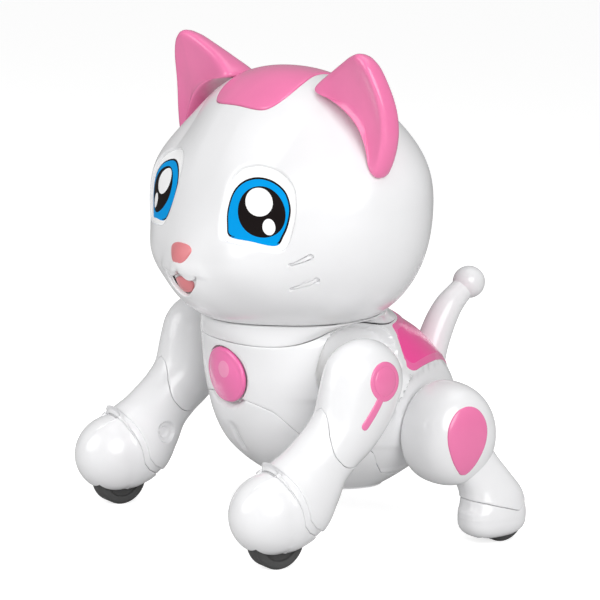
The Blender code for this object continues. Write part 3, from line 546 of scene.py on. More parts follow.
GEAR = surface_material("gear_plastic", (0.80, 0.78, 0.70), 0.4, grain=0.1, mottle=0.03)
BOARD = surface_material("circuit_board", (0.02, 0.16, 0.06), 0.35, coat=0.3, grain=0.3, mottle=0.2)
CELL = surface_material("battery_wrap", (0.05, 0.12, 0.35), 0.3, coat=0.4, mottle=0.05)
PAPER = surface_material("speaker_cone", (0.07, 0.07, 0.075), 0.8, grain=0.5, mottle=0.2)


# ---------------------------------------------------------------- head

HEAD_CENTRE = np.array([0.0, -8.2, 136.0])
HEAD_HALF_WIDTH = 71.0
HEAD_FACE_DEPTH = 41.5
HEAD_BACK_DEPTH = 49.5
HEAD_HALF_HEIGHT = 52.5
HEAD_SPLIT_Y = 34.0            # where the rear cover starts
CAP_END = 22.0                 # half the cap's width there
ROUND_SCALE = 60.0             # millimetres for a radian round the head
UP_SCALE = 55.0                # and for a radian up it

NECK_CENTRE = np.array([0.0, -1.8, 83.3])
NECK_TILT = math.radians(8.0)
NECK_UP = np.array([0.0, -math.sin(NECK_TILT), math.cos(NECK_TILT)])
NECK_BACK = np.array([0.0, math.cos(NECK_TILT), math.sin(NECK_TILT)])
HEAD_FLOOR = 9.2
LOWEST_UP = -1.35              # angle at which the search for the head's rim starts


def brow_depth(x, z):
    """How far the face falls back over the eyes; below them the cheeks come forward."""
    brow = 8.0 * np.exp(-((z - 162) / 15) ** 2) * (0.25 + 0.75 * np.clip((np.abs(x) - 8) / 28, 0, 1) ** 1.5)
    return brow - 4.5 * np.exp(-((z - 111) / 14) ** 2 - ((np.abs(x) - 33) / 15) ** 2)


def head_surface(angle_round, angle_up):
    c, s = np.cos(angle_round), np.sin(angle_round)
    face_share = (1 - s) / 2
    level = np.cos(angle_up)
    plan_power = 2 + 0.6 * face_share * level ** np.where(angle_up > 0, 4, 2)
    depth = HEAD_BACK_DEPTH + (HEAD_FACE_DEPTH - HEAD_BACK_DEPTH) * face_share
    side_power = 2.25 - 0.25 * np.sin(angle_up) - 0.18 * np.sin(2 * angle_up) ** 2 * (angle_up > 0)
    reach = signed_power(level, 2 / side_power)
    x = HEAD_HALF_WIDTH * reach * signed_power(c, 2 / plan_power)
    y = HEAD_CENTRE[1] + depth * reach * signed_power(s, 2 / plan_power)
    z = HEAD_CENTRE[2] + HEAD_HALF_HEIGHT * signed_power(np.sin(angle_up), 2 / side_power)
    muzzle = 17.0 * np.exp(-((z - 97) / 29) ** 2 - (x / 30) ** 2)
    forward = (muzzle * np.abs(reach) ** 0.3 - brow_depth(x, z)) * np.maximum(0, -s) ** 0.6
    return np.stack([x, y - forward, z], -1)


HEAD = Skin(lambda uv: head_surface(uv[:, 0] / ROUND_SCALE, uv[:, 1] / UP_SCALE))


def head_from_top(uv):
    away = np.maximum(np.hypot(uv[:, 0], uv[:, 1]), 1e-6)
    return head_surface(np.arctan2(uv[:, 1], uv[:, 0]), math.pi / 2 - away / UP_SCALE)


CROWN = Skin(head_from_top)
FACE_START = (-math.pi / 2 * ROUND_SCALE, 0.0)


def neck_height(points):
    return (points - NECK_CENTRE) @ NECK_UP


def crown_outline():
    """The cap seen from above, from its back left corner round the front to its back right one."""
    left = [(CAP_END, HEAD_SPLIT_Y), (19.5, 20), (16.6, 7), (16.0, -2.5), (18.6, -10.5), (22.2, -19.6),
            (22.4, -27), (18.6, -32.6), (11, -34.9), (0, -35.2)]
    line = open_curve(left + mirror_points(left)[::-1][1:].tolist(), 10)
    return CROWN.project(line, (0, 0, 180), (0, 0, 1), (0.0, -20.0), upward=(0, 1, 0))


def crown_to_head(uv):
    """The same points as parameters of HEAD, with the round angle between -3/2 pi and pi/2."""
    angle = np.arctan2(uv[:, 1], uv[:, 0])
    angle = np.where(angle > math.pi / 2, angle - 2 * math.pi, angle)
    up = math.pi / 2 - np.hypot(uv[:, 0], uv[:, 1]) / UP_SCALE
    return np.stack([angle * ROUND_SCALE, up * UP_SCALE], -1)


def segment_distance(points, start, end):
    start, end = np.asarray(start, float), np.asarray(end, float)
    along = end - start
    share = np.clip(((points - start) @ along) / (along @ along), 0, 1)
    return np.linalg.norm(points - start - share[:, None] * along, axis=-1), share


WHISKERS = (((49.4, -40.2, 116.4), (57.4, -36.1, 120.4)), ((46.5, -37.0, 106.4), (56.6, -32.2, 111.1)))


def face_relief(points):
    level = np.zeros(len(points))
    for lip in (-1, 1):
        distance, _ = segment_distance(points, (0, -58.9, 107.5), (lip * 11.5, -55.6, 107.3))
        level += 0.5 * bump(distance - 3.0, 2.0) * (points[:, 2] > 107)
    return level


EYE_AT = np.array([36.0, -44.2, 137.0])
EYE_FACING = (0.26, -0.955, 0.14)
SOCKET = closed_curve([(17.2, 4.5), (15.1, 10.4), (9.4, 14.4), (3, 16.0), (-3.4, 16.0), (-10.4, 14.0),
                       (-15.8, 9.4), (-18.6, 2.8), (-19.3, -5), (-18.9, -11.8), (-16.6, -14.6), (-8, -15.4),
                       (2, -15.8), (9.2, -15.6), (13.6, -11.6), (16.7, -3)], 5)
IRIS = closed_curve([(13.6, 1.5), (11, 7.3), (5, 10.6), (-2.4, 11.4), (-9.5, 9.2), (-14.6, 4.5),
                     (-16.7, -2.2), (-16.2, -8.5), (-14.2, -13.0), (-4, -13.6), (6.4, -13.9), (10.4, -9.6),
                     (12.8, -4.5)], 6) * [1.05, 1]
IRIS_FLOOR = -12.9             # the black outline is blue below this
PUPIL = circle((0.1, -1.7), 12.0, 9.8)
GLINT_LARGE = circle((-1.2, 1.9), 7.1, 5.5, 36)
GLINT_SMALL = circle((4.4, -7.0), 3.0, 3.2, 24, math.radians(-30))


def shrink(outline, amount):
    """The flat outline moved inward."""
    along = unit(np.roll(outline, -1, axis=0) - np.roll(outline, 1, axis=0))
    return outline + np.stack([-along[:, 1], along[:, 0]], -1) * amount


def on_face(outline, skin=HEAD):
    """An eye's outline on the face, leaning with the brow so that it keeps its shape from the front."""
    lean = 0.83 * brow_depth(EYE_AT[0], EYE_AT[2] + outline[:, 1])
    start = FACE_START + np.array([0.6 * ROUND_SCALE, 0.0])
    return skin.project(outline - np.stack([lean, 0 * lean], -1), EYE_AT, EYE_FACING, start)


MOUTH_AT = (0.0, -57.5, 104.0)
MOUTH_FACING = (0.0, -0.97, -0.24)
MOUTH = closed_curve([(0, 4.3), (3.0, 2.2), (6.2, 0.9), (9.2, 1.4), (11.0, 3.2), (10.0, -0.2), (7, -3.4),
                      (3.6, -5.8), (0, -6.8), (-3.6, -5.8), (-7, -3.4), (-10.0, -0.2), (-11.0, 3.2),
                      (-9.2, 1.4), (-6.2, 0.9), (-3.0, 2.2)][::-1], 4)
TONGUE = closed_curve([(0, 1.6), (5.2, 0.2), (6.4, -1.0), (5.2, -3.9), (2.8, -5.3), (0, -5.7), (-2.8, -5.3),
                       (-5.2, -3.9), (-6.4, -1.0), (-5.2, 0.2)][::-1], 5)
NOSE_AT = (0.0, -58.9, 114.4)
NOSE_FACING = (0.0, -0.97, 0.24)
NOSE = closed_curve([(0, -4.7), (3.6, -3.2), (6.6, 0.4), (7.3, 2.8), (4.9, 4.4), (0, 4.9), (-4.9, 4.4),
                     (-7.3, 2.8), (-6.6, 0.4), (-3.6, -3.2)], 6)


def counterclockwise(loop):
    x, y = loop[:, 0], loop[:, 1]
    return loop if (x * np.roll(y, -1) - np.roll(x, -1) * y).sum() > 0 else loop[::-1]


def project_face(outline, at, facing, skin=HEAD):
    return skin.project(counterclockwise(outline), at, facing, FACE_START + np.array([0.0, -20.0]))


def make_head():
    crown = crown_outline()
    rim = crown_to_head(crown)
    corner = rim[0]
    floor_angle = np.linspace(-1.5 * math.pi, 0.5 * math.pi, 241) * ROUND_SCALE
    floor = crossing(HEAD, floor_angle, lambda p: neck_height(p) - HEAD_FLOOR, LOWEST_UP * UP_SCALE, 0.0)

    def split_angle(up):
        return crossing(HEAD, up, lambda p: p[:, 1] - HEAD_SPLIT_Y, 0.0, math.pi / 2 * ROUND_SCALE, axis=0)

    # The corner where the split meets the neck opening.
    up = np.linspace(-1.1, 0, 400) * UP_SCALE
    edge = np.stack([split_angle(up), up], -1)
    edge_height = neck_height(HEAD.point(edge)) - HEAD_FLOOR
    start = np.argmin(np.abs(edge_height))
    split_up = np.linspace(up[start], corner[1], 70)
    split = np.stack([split_angle(split_up), split_up], -1)
    other = split * [-1, 1] - [math.pi * ROUND_SCALE, 0]
    keep_floor = (floor_angle < split[0, 0]) & (floor_angle > other[0, 0])
    front_floor = np.stack([floor_angle, floor], -1)[keep_floor]
    outline = np.vstack([other[:1], front_floor, split[:-1], rim, other[::-1][1:-1]])
    outline = resample(outline, 1.7)
    eyes = [on_face(SOCKET)]
    eyes.append(counterclockwise(eyes[0] * [-1, 1] - [math.pi * ROUND_SCALE, 0]))
    mouth = project_face(MOUTH, MOUTH_AT, MOUTH_FACING)
    soft_edge = edge_profile(0.9, 4)
    holes = [Loop(eye, soft_edge) for eye in eyes] + [Loop(mouth, edge_profile(0.5, 3))]
    grooves = []
    for start, end in WHISKERS:
        middle = (np.array(start) + end) / 2
        facing = np.array([0.72, -0.66, 0.0])
        across = unit(np.cross((0, 0, 1), facing))
        tail_end, head_end = [((np.array(p) - middle) @ across, p[2] - middle[2]) for p in (start, end)]
        for inset, depth in ((0.0, 0.0), (0.42, -1.1)):
            flat = tapered_slot(tail_end, head_end, 0.75 - inset, 1.35 - inset)
            groove = HEAD.project(flat, middle, facing, FACE_START + np.array([ROUND_SCALE, -20.0]))
            grooves.append((groove, depth, True))
            grooves.append((groove * [-1, 1] - [math.pi * ROUND_SCALE, 0], depth, True))
    tight = [(d + SEAM, h) for d, h in edge_profile()]
    points, faces, _, _ = patch(HEAD, Loop(outline, tight), holes, grooves, 1.25, relief=face_relief)
    add_piece("face_shell_skin", points, faces, WHITE, "head", ("face_shell",), "white_gloss")

    make_head_floor(np.stack([floor_angle, floor], -1)[:-1])
    back_floor = np.stack([floor_angle, floor], -1)
    beyond = floor_angle > split[0, 0]
    right_part = back_floor[beyond]
    left_part = (back_floor[floor_angle < other[0, 0]] + [2 * math.pi * ROUND_SCALE, 0])
    other_side = other + [2 * math.pi * ROUND_SCALE, 0]
    back = np.vstack([split[:1], right_part[:-1], left_part, other_side[:-1]])
    top_from, top_to = other_side[-1], split[-1]
    # Along the top the rear cover meets the cap's straight back end on the same plane.
    far = np.linspace(0, 1, 30)[1:-1]
    top_x = HEAD.point(top_from[None])[0, 0] * (1 - far) + HEAD.point(top_to[None])[0, 0] * far
    flat = np.stack([top_x, np.full_like(top_x, HEAD_SPLIT_Y)], -1)
    top_line = CROWN.project(flat, (0, 0, 180), (0, 0, 1), (0.0, 20.0), upward=(0, 1, 0))
    angle = np.arctan2(top_line[:, 1], top_line[:, 0])
    top_line = np.stack([angle * ROUND_SCALE, math.pi / 2 * UP_SCALE - np.hypot(*top_line.T)], -1)
    back = resample(np.vstack([back, other_side[-1:], top_line, split[::-1][:-1]]), 1.7)
    points, faces, _, _ = patch(HEAD, Loop(back, tight), spacing=1.6)
    add_piece("head_rear_skin", points, faces, WHITE, "head", ("head_rear_cover",), "white_gloss")

    end = np.linspace(0, 1, 30)[1:-1, None]
    cap_end = CROWN.project(np.stack([CAP_END * (2 * end[:, 0] - 1), np.full(28, HEAD_SPLIT_Y)], -1),
                            (0, 0, 180), (0, 0, 1), (0.0, 20.0), upward=(0, 1, 0))
    cap_loop = counterclockwise(resample(np.vstack([crown, cap_end]), 1.3))
    proud = CROWN.offset(0.35)
    cap_edge = [(d + SEAM, h) for d, h in edge_profile(0.8, 4)]
    points, faces, _, _ = patch(proud, Loop(cap_loop, cap_edge), spacing=1.5)
    add_piece("crown_cap_skin", points, faces, PINK, "head", ("crown_cap",), "pink_gloss")

    make_eyes()
    def nose_surface(uv):
        base = HEAD.point(uv)
        rise = 0.25 + bump(np.hypot(base[:, 0], base[:, 2] - 115), 5.2)
        return base + np.array([0, -1.0, 0.1]) * rise[:, None]

    nose_skin = Skin(nose_surface)
    nose = resample(project_face(NOSE, NOSE_AT, NOSE_FACING), 0.6)
    points, faces, _, _ = patch(nose_skin, Loop(nose, edge_profile(0.7, 4)), spacing=0.7, wall=2.0)
    add_piece("nose_pad", points, faces, SALMON, "head", ("nose",), "salmon_gloss")

    inside_skin = HEAD.offset(-2.6)
    mouth_back = project_face(shrink(counterclockwise(MOUTH), -1.2), MOUTH_AT, MOUTH_FACING, inside_skin)
    points, faces, _, _ = patch(inside_skin, Loop(resample(mouth_back, 0.8), [(0, 0)]), spacing=1.0, wall=1.2)
    add_piece("mouth_cup", points, faces, EYE_WHITE, "head", ("mouth_insert",), "white_gloss")

    def tongue_surface(uv):
        base = HEAD.point(uv)
        sink = 1.9 - bump(np.hypot(base[:, 0], base[:, 2] - 101.5), 4.2)
        return base - HEAD.frame(uv)[2] * sink[:, None]

    tongue_skin = Skin(tongue_surface)
    tongue = resample(project_face(TONGUE, MOUTH_AT, MOUTH_FACING, tongue_skin), 0.6)
    points, faces, _, _ = patch(tongue_skin, Loop(tongue, edge_profile(0.7, 4)), spacing=0.7, wall=1.0)
    add_piece("tongue", points, faces, SALMON, "head", (), "salmon_gloss")
    make_ears()


def make_head_floor(uv):
    """The flat ring under the head, from the shells' lower edge in to the turntable's opening."""
    rim = HEAD.point(uv)
    axis_point = NECK_CENTRE + NECK_UP * HEAD_FLOOR
    away = unit(rim - axis_point)
    count = len(rim)
    opening, sink, thick = 36.8, NECK_UP * 0.12, NECK_UP * 1.2
    rows = [rim - away * 0.25, rim - away * 0.7 - sink, axis_point + away * (opening + 0.2) - sink,
            axis_point + away * opening, axis_point + away * opening + thick, rim - away + thick]
    faces = [f[::-1] for f in grid_faces(len(rows) + 1, count)]
    faces = [tuple(i % (len(rows) * count) for i in f) for f in faces]
    points = np.vstack(rows)
    if volume(points, faces) < 0:
        faces = [f[::-1] for f in faces]
    add_piece("head_floor_ring", points, faces, WHITE, "head", (), "white_gloss")


def make_eyes():
    plate = HEAD.offset(-1.35)
    rings = [IRIS, shrink(IRIS, 0.8), PUPIL, GLINT_LARGE, GLINT_SMALL]
    edge = resample(on_face(shrink(SOCKET, -1.3), plate), 0.9)
    lines = [(resample(on_face(ring, plate), 0.45), 0.0, True) for ring in rings]
    points, faces, uv, _ = patch(plate, Loop(edge, [(0, 0)]), creases=lines, spacing=1.0, wall=1.2)
    middles = face_middles(uv, faces)
    inner = [inside(middles, line) for line, _, _ in lines]
    pick = np.zeros(len(faces), int)
    pick[inner[0]] = 2
    # The black outline stops at the flat lower edge of the iris.
    gap = plate.point(middles) - EYE_AT
    facing = unit(np.array(EYE_FACING))
    across = unit(np.cross((0, 0, 1), facing))
    height = gap @ np.cross(facing, across)
    pick[inner[1]] = 1
    pick[inner[0] & ~inner[1] & (height < IRIS_FLOOR)] = 1
    pick[inner[2]] = 2
    pick[inner[3] | inner[4]] = 0
    both_sides("eye_plate_{}", points, faces, EYE_WHITE, "head", ("eye_{}",), slot="eye_print",
               pick=pick, extra=(EYE_BLUE, EYE_BLACK))


EAR = closed_curve([(31.0, 181.6), (32.2, 185), (41.5, 190.6), (52, 195.6), (58, 197.8), (63.0, 198.3),
                    (67.6, 195.2), (71.0, 188.8), (73.2, 181), (74.2, 173), (74.0, 165), (72.2, 157),
                    (69.4, 151.8), (66.6, 153.0), (65.0, 158.8), (62.2, 164.6), (57.4, 170.8), (50, 175.8),
                    (41, 179.4)], 6)
EAR_FOOT = ((31.0, 180.0), (69.0, 151.0))      # the line along which the ear meets the head
EAR_Y = -15.0
EAR_LEAN = 0.24


def make_ears():
    def place(flat, depth):
        share = np.clip((flat[:, 0] - 30) / 32, 0, 1)
        lean = EAR_LEAN * 5 * np.log1p(np.exp((flat[:, 1] - 175) / 5)) * share
        yaw = 0.13 * (flat[:, 0] - 60) / (1 + np.exp((flat[:, 1] - 184) / 4))
        # The root reaches back along the crown on its inner side.
        foot = np.array(EAR_FOOT)
        along = unit(foot[1] - foot[0])
        height = (flat - foot[0]) @ np.array([-along[1], along[0]])
        root = np.clip(1 - height / 26, 0, 1) * np.clip((60 - flat[:, 0]) / 26, 0, 1)
        thick = depth * np.where(depth > 0, 1 + 1.9 * root, 1.0)
        return np.stack([flat[:, 0], EAR_Y + thick - lean + yaw, flat[:, 1]], -1)

    rings = [(0.02, -2.0), (0.15, -2.0), (0.3, -2.05), (0.45, -2.15), (0.58, -2.35), (0.68, -2.6),
             (0.76, -2.85), (0.83, -3.05), (0.89, -3.1), (0.94, -2.8), (0.975, -2.1), (0.995, -1.1),
             (1.0, 0.0), (0.99, 2.0),
             (0.96, 3.6), (0.90, 4.9), (0.82, 5.8), (0.7, 6.5), (0.5, 7.0), (0.25, 7.2), (0.02, 7.3)]
    points, faces = pillow(EAR, (60.5, 177.5), rings, place)
    count = len(EAR)
    last = len(points) - count
    faces += [tuple(range(count))[::-1], tuple(range(last, last + count))]
    both_sides("ear_{}_flap", points, faces, PINK, "head", ("ear_{}",), slot="pink_gloss", sharp=60)


# ---------------------------------------------------------------- torso

TORSO = np.array([  # height, front, middle, back, half width
    (15.5, 6, 23, 40, 16.5), (18, 0, 23, 44, 21), (22, -9.5, 22, 51, 26.5), (28, -18.5, 21, 60, 33),
    (35, -25.5, 20, 67.5, 38), (44, -30.5, 18, 73.5, 41), (54, -33.5, 13, 75, 42), (64, -35.3, 6, 70.5, 42),
    (72, -36.3, 1, 63.5, 40.8), (80, -37.8, -1.5, 54, 39.8), (87, -39.8, -1.8, 42, 39),
    (96, -40.5, -1.8, 30, 38)])
TORSO_STEP = 8.0               # millimetres of the second parameter for one table row
TORSO_ROUND = 40.0             # and of the first for a radian


def torso_surface(uv):
    height, front, middle, back, half = spline(TORSO, uv[:, 1] / TORSO_STEP).T
    angle = uv[:, 0] / TORSO_ROUND
    c, s = np.cos(angle), np.sin(angle)
    power = 2.15 - 0.15 * np.tanh(4 * s)
    x = half * signed_power(c, 2 / power)
    y = middle + np.where(s < 0, middle - front, back - middle) * signed_power(s, 2 / power)
    return np.stack([x, y, height], -1)


TORSO_SKIN = Skin(torso_surface)
BELLY_SEAM = np.array([(-60, 66), (-44, 60), (-33, 56), (-27, 52.8), (-22, 47.8), (-16.4, 42.8), (-9, 39.7),
                       (0, 38.7), (8, 38), (13, 36), (17.5, 30), (23, 25.2), (31, 23.4), (45, 22.6),
                       (100, 22.4)])
SHOULDER_RIM = (2.4, 72.0, 18.8)
THIGH_RIM = (43.0, 45.0, 25.0)
DOOR_OPENING = np.array([13.3, 12.3])          # half of its width and length
COLLAR_HEIGHT = 8.9
BUTTON_AT = np.array([0.0, -35.0, 64.5])
BUTTON_FACING = (0.0, -0.985, -0.17)
BUTTON_R = 11.4
BUTTON_WIDER = 1.6
BUTTON_POCKET = 2.6            # deep enough for its travel
POCKET_GAP = 0.4               # round the button


def button_pocket(points, gap_round, ramp):
    """The pocket that the chest button sinks into; its wall slopes over the ramp."""
    facing = unit(np.array(BUTTON_FACING))
    gap = points - BUTTON_AT
    height = gap @ np.cross(facing, unit(np.cross((0, 0, 1), facing)))
    away = (np.hypot(gap[:, 0] / (BUTTON_R + BUTTON_WIDER), height / BUTTON_R) - 1) * BUTTON_R
    return -BUTTON_POCKET * np.clip((gap_round + ramp - away) / ramp, 0, 1) * (points[:, 1] < 0)


def above_seam(points):
    return points[:, 2] - np.interp(points[:, 1], BELLY_SEAM[:, 0], BELLY_SEAM[:, 1])


def collar_foot(angle):
    """Height of the collar's lower edge: it climbs over each shoulder."""
    side = np.abs(np.cos(angle))
    return 0.4 + 6.2 * bump(np.arccos(np.clip(side, -1, 1)), 0.42)


def above_collar(points):
    across = points[:, 0]
    back = (points - NECK_CENTRE) @ NECK_BACK
    return neck_height(points) - collar_foot(np.arctan2(back, across)) + 2 * SEAM


def torso_relief(points):
    x, y, z = np.abs(points[:, 0]), points[:, 1], points[:, 2]
    facing = unit(np.array(PANEL_FACING))
    across = unit(np.cross((0, 0, 1), facing))
    flat = np.stack([(points - PANEL_AT) @ across, (points - PANEL_AT) @ np.cross(facing, across)], -1)
    gap = np.linalg.norm(flat[:, None] - PANEL[None, ::2], axis=-1).min(1)
    gap = np.where(inside(flat, PANEL) & (y > 10), 0, gap)
    clear = np.where(y > 10, np.clip((gap - 0.6) / 1.2, 0, 1), 1)
    side = 1 / (1 + np.exp(-(x - 27) / 2.0))
    shoulder = np.hypot(y - SHOULDER_RIM[0], z - SHOULDER_RIM[1]) - SHOULDER_RIM[2]
    thigh = np.hypot(y - THIGH_RIM[0], z - THIGH_RIM[1]) - THIGH_RIM[2]
    upper = 1 / (1 + np.exp(-(z - 50) / 3.0))
    below = np.clip((-0.4 - above_collar(points)) / 1.6, 0, 1)
    level = side * below * (1.9 / (1 + np.exp(-shoulder / 0.3)) * np.exp(-np.maximum(shoulder, 0) / 4.5)
                    - (1.2 + 2.4 / (1 + np.exp((80 - z) / 1.5))) / (1 + np.exp(shoulder / 0.3))) * (z > 58)
    hood = 2.2 / (1 + np.exp(-thigh / 0.3)) * np.exp(-np.maximum(thigh - 1.5, 0) / 4)
    level += side * upper * clear * (hood - 1.2 / (1 + np.exp(thigh / 0.3)))
    crease = 38 - 0.1 * (y - 12)
    level -= 0.55 * side * (y > 10) / (1 + np.exp((z - crease) / 0.35)) * (z > 26)
    return level + button_pocket(points, POCKET_GAP, 0.35)


def make_torso():
    around = np.linspace(-math.pi, math.pi, 201) * TORSO_ROUND
    top_v = 11 * TORSO_STEP
    seam = crossing(TORSO_SKIN, around, above_seam, 0.5, top_v)
    collar = crossing(TORSO_SKIN, around, above_collar, 0.5, top_v)
    low = np.stack([around, seam], -1)
    high = np.stack([around, collar], -1)
    low, high = resample(low, 1.2, closed=False), resample(high, 1.2, closed=False)
    rise = np.linspace(0, 1, 45)[1:-1, None]
    right = low[-1] + (high[-1] - low[-1]) * rise
    left = right - [2 * math.pi * TORSO_ROUND, 0]
    outline = np.vstack([low, right, high[::-1], left[::-1]])
    weld = np.concatenate([np.zeros(len(low), bool), np.ones(len(right), bool), np.zeros(len(high), bool),
                           np.ones(len(left), bool)])
    start = (-math.pi / 2 * TORSO_ROUND, 55.0)
    grooves = []
    for radius in (BUTTON_R + POCKET_GAP, BUTTON_R + POCKET_GAP + 0.35):
        oval = circle((0, 0), radius + BUTTON_WIDER, radius, 70)
        grooves.append((TORSO_SKIN.project(oval, BUTTON_AT, BUTTON_FACING, start), 0.0, True))
    shell = upper_shell(outline, weld, grooves)
    add_piece("upper_body_skin", *shell, WHITE, "body", ("upper_body_shell",), "white_gloss")

    belly_low = np.stack([low[:, 0], np.full(len(low), 0.6 * TORSO_STEP)], -1)
    edge = [(d + 2 * SEAM, h) for d, h in edge_profile()]
    points, faces = band(TORSO_SKIN, belly_low[:-1], low[:-1], 44, [(0, 0)], edge, relief=belly_relief)
    add_piece("belly_skin", points, faces, WHITE, "body", ("belly_shell",), "white_gloss", sharp=50)
    make_underside()
    make_button()
    make_back_panel()
    make_collar()


def belly_relief(points):
    slot, _ = segment_distance(points, (0, -30.6, 42.5), (0, -24.8, 33.7))
    return -1.4 * bump(slot, 1.3) + button_pocket(points, 1.3, 0.9)


def upper_shell(outline, weld, grooves):
    """The upper body: a patch whose two welded sides meet on the far flank."""
    profile = edge_profile()
    lines = []
    for distance, drop in profile:
        line = TORSO_SKIN.ring(outline, distance)
        line[weld] = outline[weld]
        lines.append((line, drop))
    loop = Loop(outline, profile, weld)
    points, faces, _, _ = patch(TORSO_SKIN, loop, creases=grooves, spacing=1.15, relief=torso_relief)
    return points, faces


def make_underside():
    """The flat bottom plate round the battery door."""
    count, height = 96, 15.9
    turn = np.linspace(-math.pi, math.pi, count + 1)[:-1] * TORSO_ROUND
    row = torso_surface(np.stack([turn, np.full(count, 0.6 * TORSO_STEP)], -1))
    middle = np.array([0.0, 23.0])
    away = unit(row[:, :2] - middle)
    reach = np.min(DOOR_OPENING / np.maximum(np.abs(away), 1e-6), axis=1)
    opening = np.column_stack([middle + away * reach[:, None], np.full(count, height)])
    rings = [row + [0, 0, 0.4], row * [0.985, 0.985, 0] + [0, 0.35, height + 0.35],
             opening, opening + [0, 0, 1.6]]
    base = len(rings) * count
    points = np.vstack([*rings, row + [0, 0, 1.6], rings[3]])
    faces = [f[::-1] for f in grid_faces(len(rings), count)]
    faces += [tuple(base + i for i in f) for f in grid_faces(2, count)]
    faces += [(i, (i + 1) % count, base + (i + 1) % count, base + i) for i in range(count)]
    add_piece("underside_plate", points, faces, WHITE, "body", (), "white_gloss")


def make_button():
    skin = TORSO_SKIN
    start = (-math.pi / 2 * TORSO_ROUND, 55.0)

    def dome(uv):
        base = skin.point(uv)
        gap = base - BUTTON_AT
        facing = unit(np.array(BUTTON_FACING))
        away = np.linalg.norm(gap - (gap @ facing)[:, None] * facing, axis=-1)
        rise = 0.7 + 1.5 * (1 - np.clip(away / BUTTON_R, 0, 1) ** 2)
        # A slightly raised spot, up and towards the toy's left, that carries a painted highlight.
        painted_highlight_spot = np.hypot(gap[:, 0] - 2.6, gap[:, 2] - 3.2)
        rise = rise + 0.16 / (1 + np.exp((painted_highlight_spot - 3.4) / 0.12))
        return base + facing * rise[:, None]

    button = Skin(dome)

    def oval(centre, half_x, half_y, count):
        return button.project(circle(centre, half_x, half_y, count), BUTTON_AT, BUTTON_FACING, start)

    ring, rim, rim_in = [oval((0, 0), BUTTON_R + BUTTON_WIDER - inset, BUTTON_R - inset, count)
                         for inset, count in ((0, 90), (1.4, 80), (1.75, 80))]
    painted_highlight_spot = oval((2.6, 3.2), 3.4, 3.4, 40)
    small = oval((-5.4, -2.2), 3.6, 3.0, 40)
    creases = [(rim, 0.0, True), (rim_in, -0.14, True), (painted_highlight_spot, 0.0, True), (small, -0.1, True)]
    points, faces, uv, _ = patch(button, Loop(ring, edge_profile(0.9, 4)), creases=creases, spacing=0.7,
                                 wall=1.5)
    middles = face_middles(uv, faces)
    # The spot's faces take the lighter pink: a painted highlight.
    pick = np.where(inside(middles, painted_highlight_spot), 1, 0)
    add_piece("chest_button_dome", points, faces, BUTTON_PINK, "chest_button", ("chest_button",),
              "magenta_lens", pick=pick, extra=(PINK_PAINTED_HIGHLIGHT,))


PANEL_AT = np.array([0.0, 58.0, 73.0])
PANEL_FACING = (0.0, 0.62, 0.78)
PANEL_SIDE = [(24, 38.5), (34.8, 35), (38.0, 27), (37.9, 18.4), (34.6, 12.8), (27, 3.2), (16, -9.5), (8, -18)]
PANEL = closed_curve([(0, 39), *PANEL_SIDE, (0, -21), *mirror_points(PANEL_SIDE)[::-1].tolist()][::-1], 5)


def make_back_panel():
    panel = TORSO_SKIN.offset(0.5)
    start = np.array([math.pi / 2 * TORSO_ROUND, 60.0])
    loop = panel.project(PANEL, PANEL_AT, PANEL_FACING, start)
    loop[:, 1] = np.minimum(loop[:, 1], crossing(TORSO_SKIN, loop[:, 0], above_collar, 0.5, 88.0) - 0.6)
    loop = counterclockwise(resample(loop, 0.9))
    facing = unit(np.array(PANEL_FACING))
    across = unit(np.cross((0, 0, 1), facing))
    up = np.cross(facing, across)
    inner_ring = panel.ring(loop, 3.0)
    points, faces, uv, _ = patch(panel, Loop(loop, edge_profile(0.5, 3)),
                                 creases=[(resample(inner_ring, 0.9), 0.25, True)], spacing=1.2)
    middles = face_middles(uv, faces)
    where = panel.point(middles) - PANEL_AT
    x, y = np.abs(where @ across), where @ up
    core = inside(middles, inner_ring)
    # The facets differ only by painted light and shade. The upper core keeps the magenta, the lower core and
    # the upper bevel are painted a lighter magenta, and the lower bevel is painted in the shell pink as if
    # lit.
    pick = np.where(core & (y > 9 - 0.45 * x), 0, 1)
    pick = np.where(~core & (y < 4), 2, pick)
    add_piece("back_panel_lens", points, faces, MAGENTA, "body", ("back_panel",), "magenta_lens",
              pick=pick, extra=(MAGENTA_PAINTED_LIT_FACET, PINK))


COLLAR_TOP_R = 41.4            # scale of the parameter that runs round it


def edge_round_neck(skin, scale, field, low, high):
    """Turn and distance, about the neck's axis, of the line on a skin where a field is zero."""
    angles = np.linspace(-1.5 * math.pi, 0.5 * math.pi, 181) * scale
    line = skin.point(np.stack([angles, crossing(skin, angles, field, low, high)], -1)) - NECK_CENTRE
    back = line @ NECK_BACK
    return np.unwrap(np.arctan2(back, line[:, 0])), np.hypot(back, line[:, 0])


def distance_at(edge, angle):
    turn, distance = edge
    return np.interp(turn[0] + np.mod(angle - turn[0], 2 * math.pi), turn, distance)


HEAD_RIM = edge_round_neck(HEAD, ROUND_SCALE, lambda p: neck_height(p) - HEAD_FLOOR,
                           LOWEST_UP * UP_SCALE, 0.0)
TORSO_RIM = edge_round_neck(TORSO_SKIN, TORSO_ROUND, above_collar, 0.5, 11 * TORSO_STEP)


def collar_surface(uv):
    """From the edge of the torso up to the head's rim."""
    angle, height = uv[:, 0] / COLLAR_TOP_R, uv[:, 1]
    foot = collar_foot(angle)
    share = np.clip((height - foot) / (COLLAR_HEIGHT - foot), -0.5, 1)
    lip, low = distance_at(HEAD_RIM, angle) - 0.25, distance_at(TORSO_RIM, angle)
    radius = low + (lip - low) * np.sin(share * math.pi / 2) + 0.4 * np.sin(np.maximum(share, 0) * math.pi)
    across = (radius * np.cos(angle))[:, None] * [1.0, 0.0, 0.0]
    return NECK_CENTRE + across + (radius * np.sin(angle))[:, None] * NECK_BACK + height[:, None] * NECK_UP


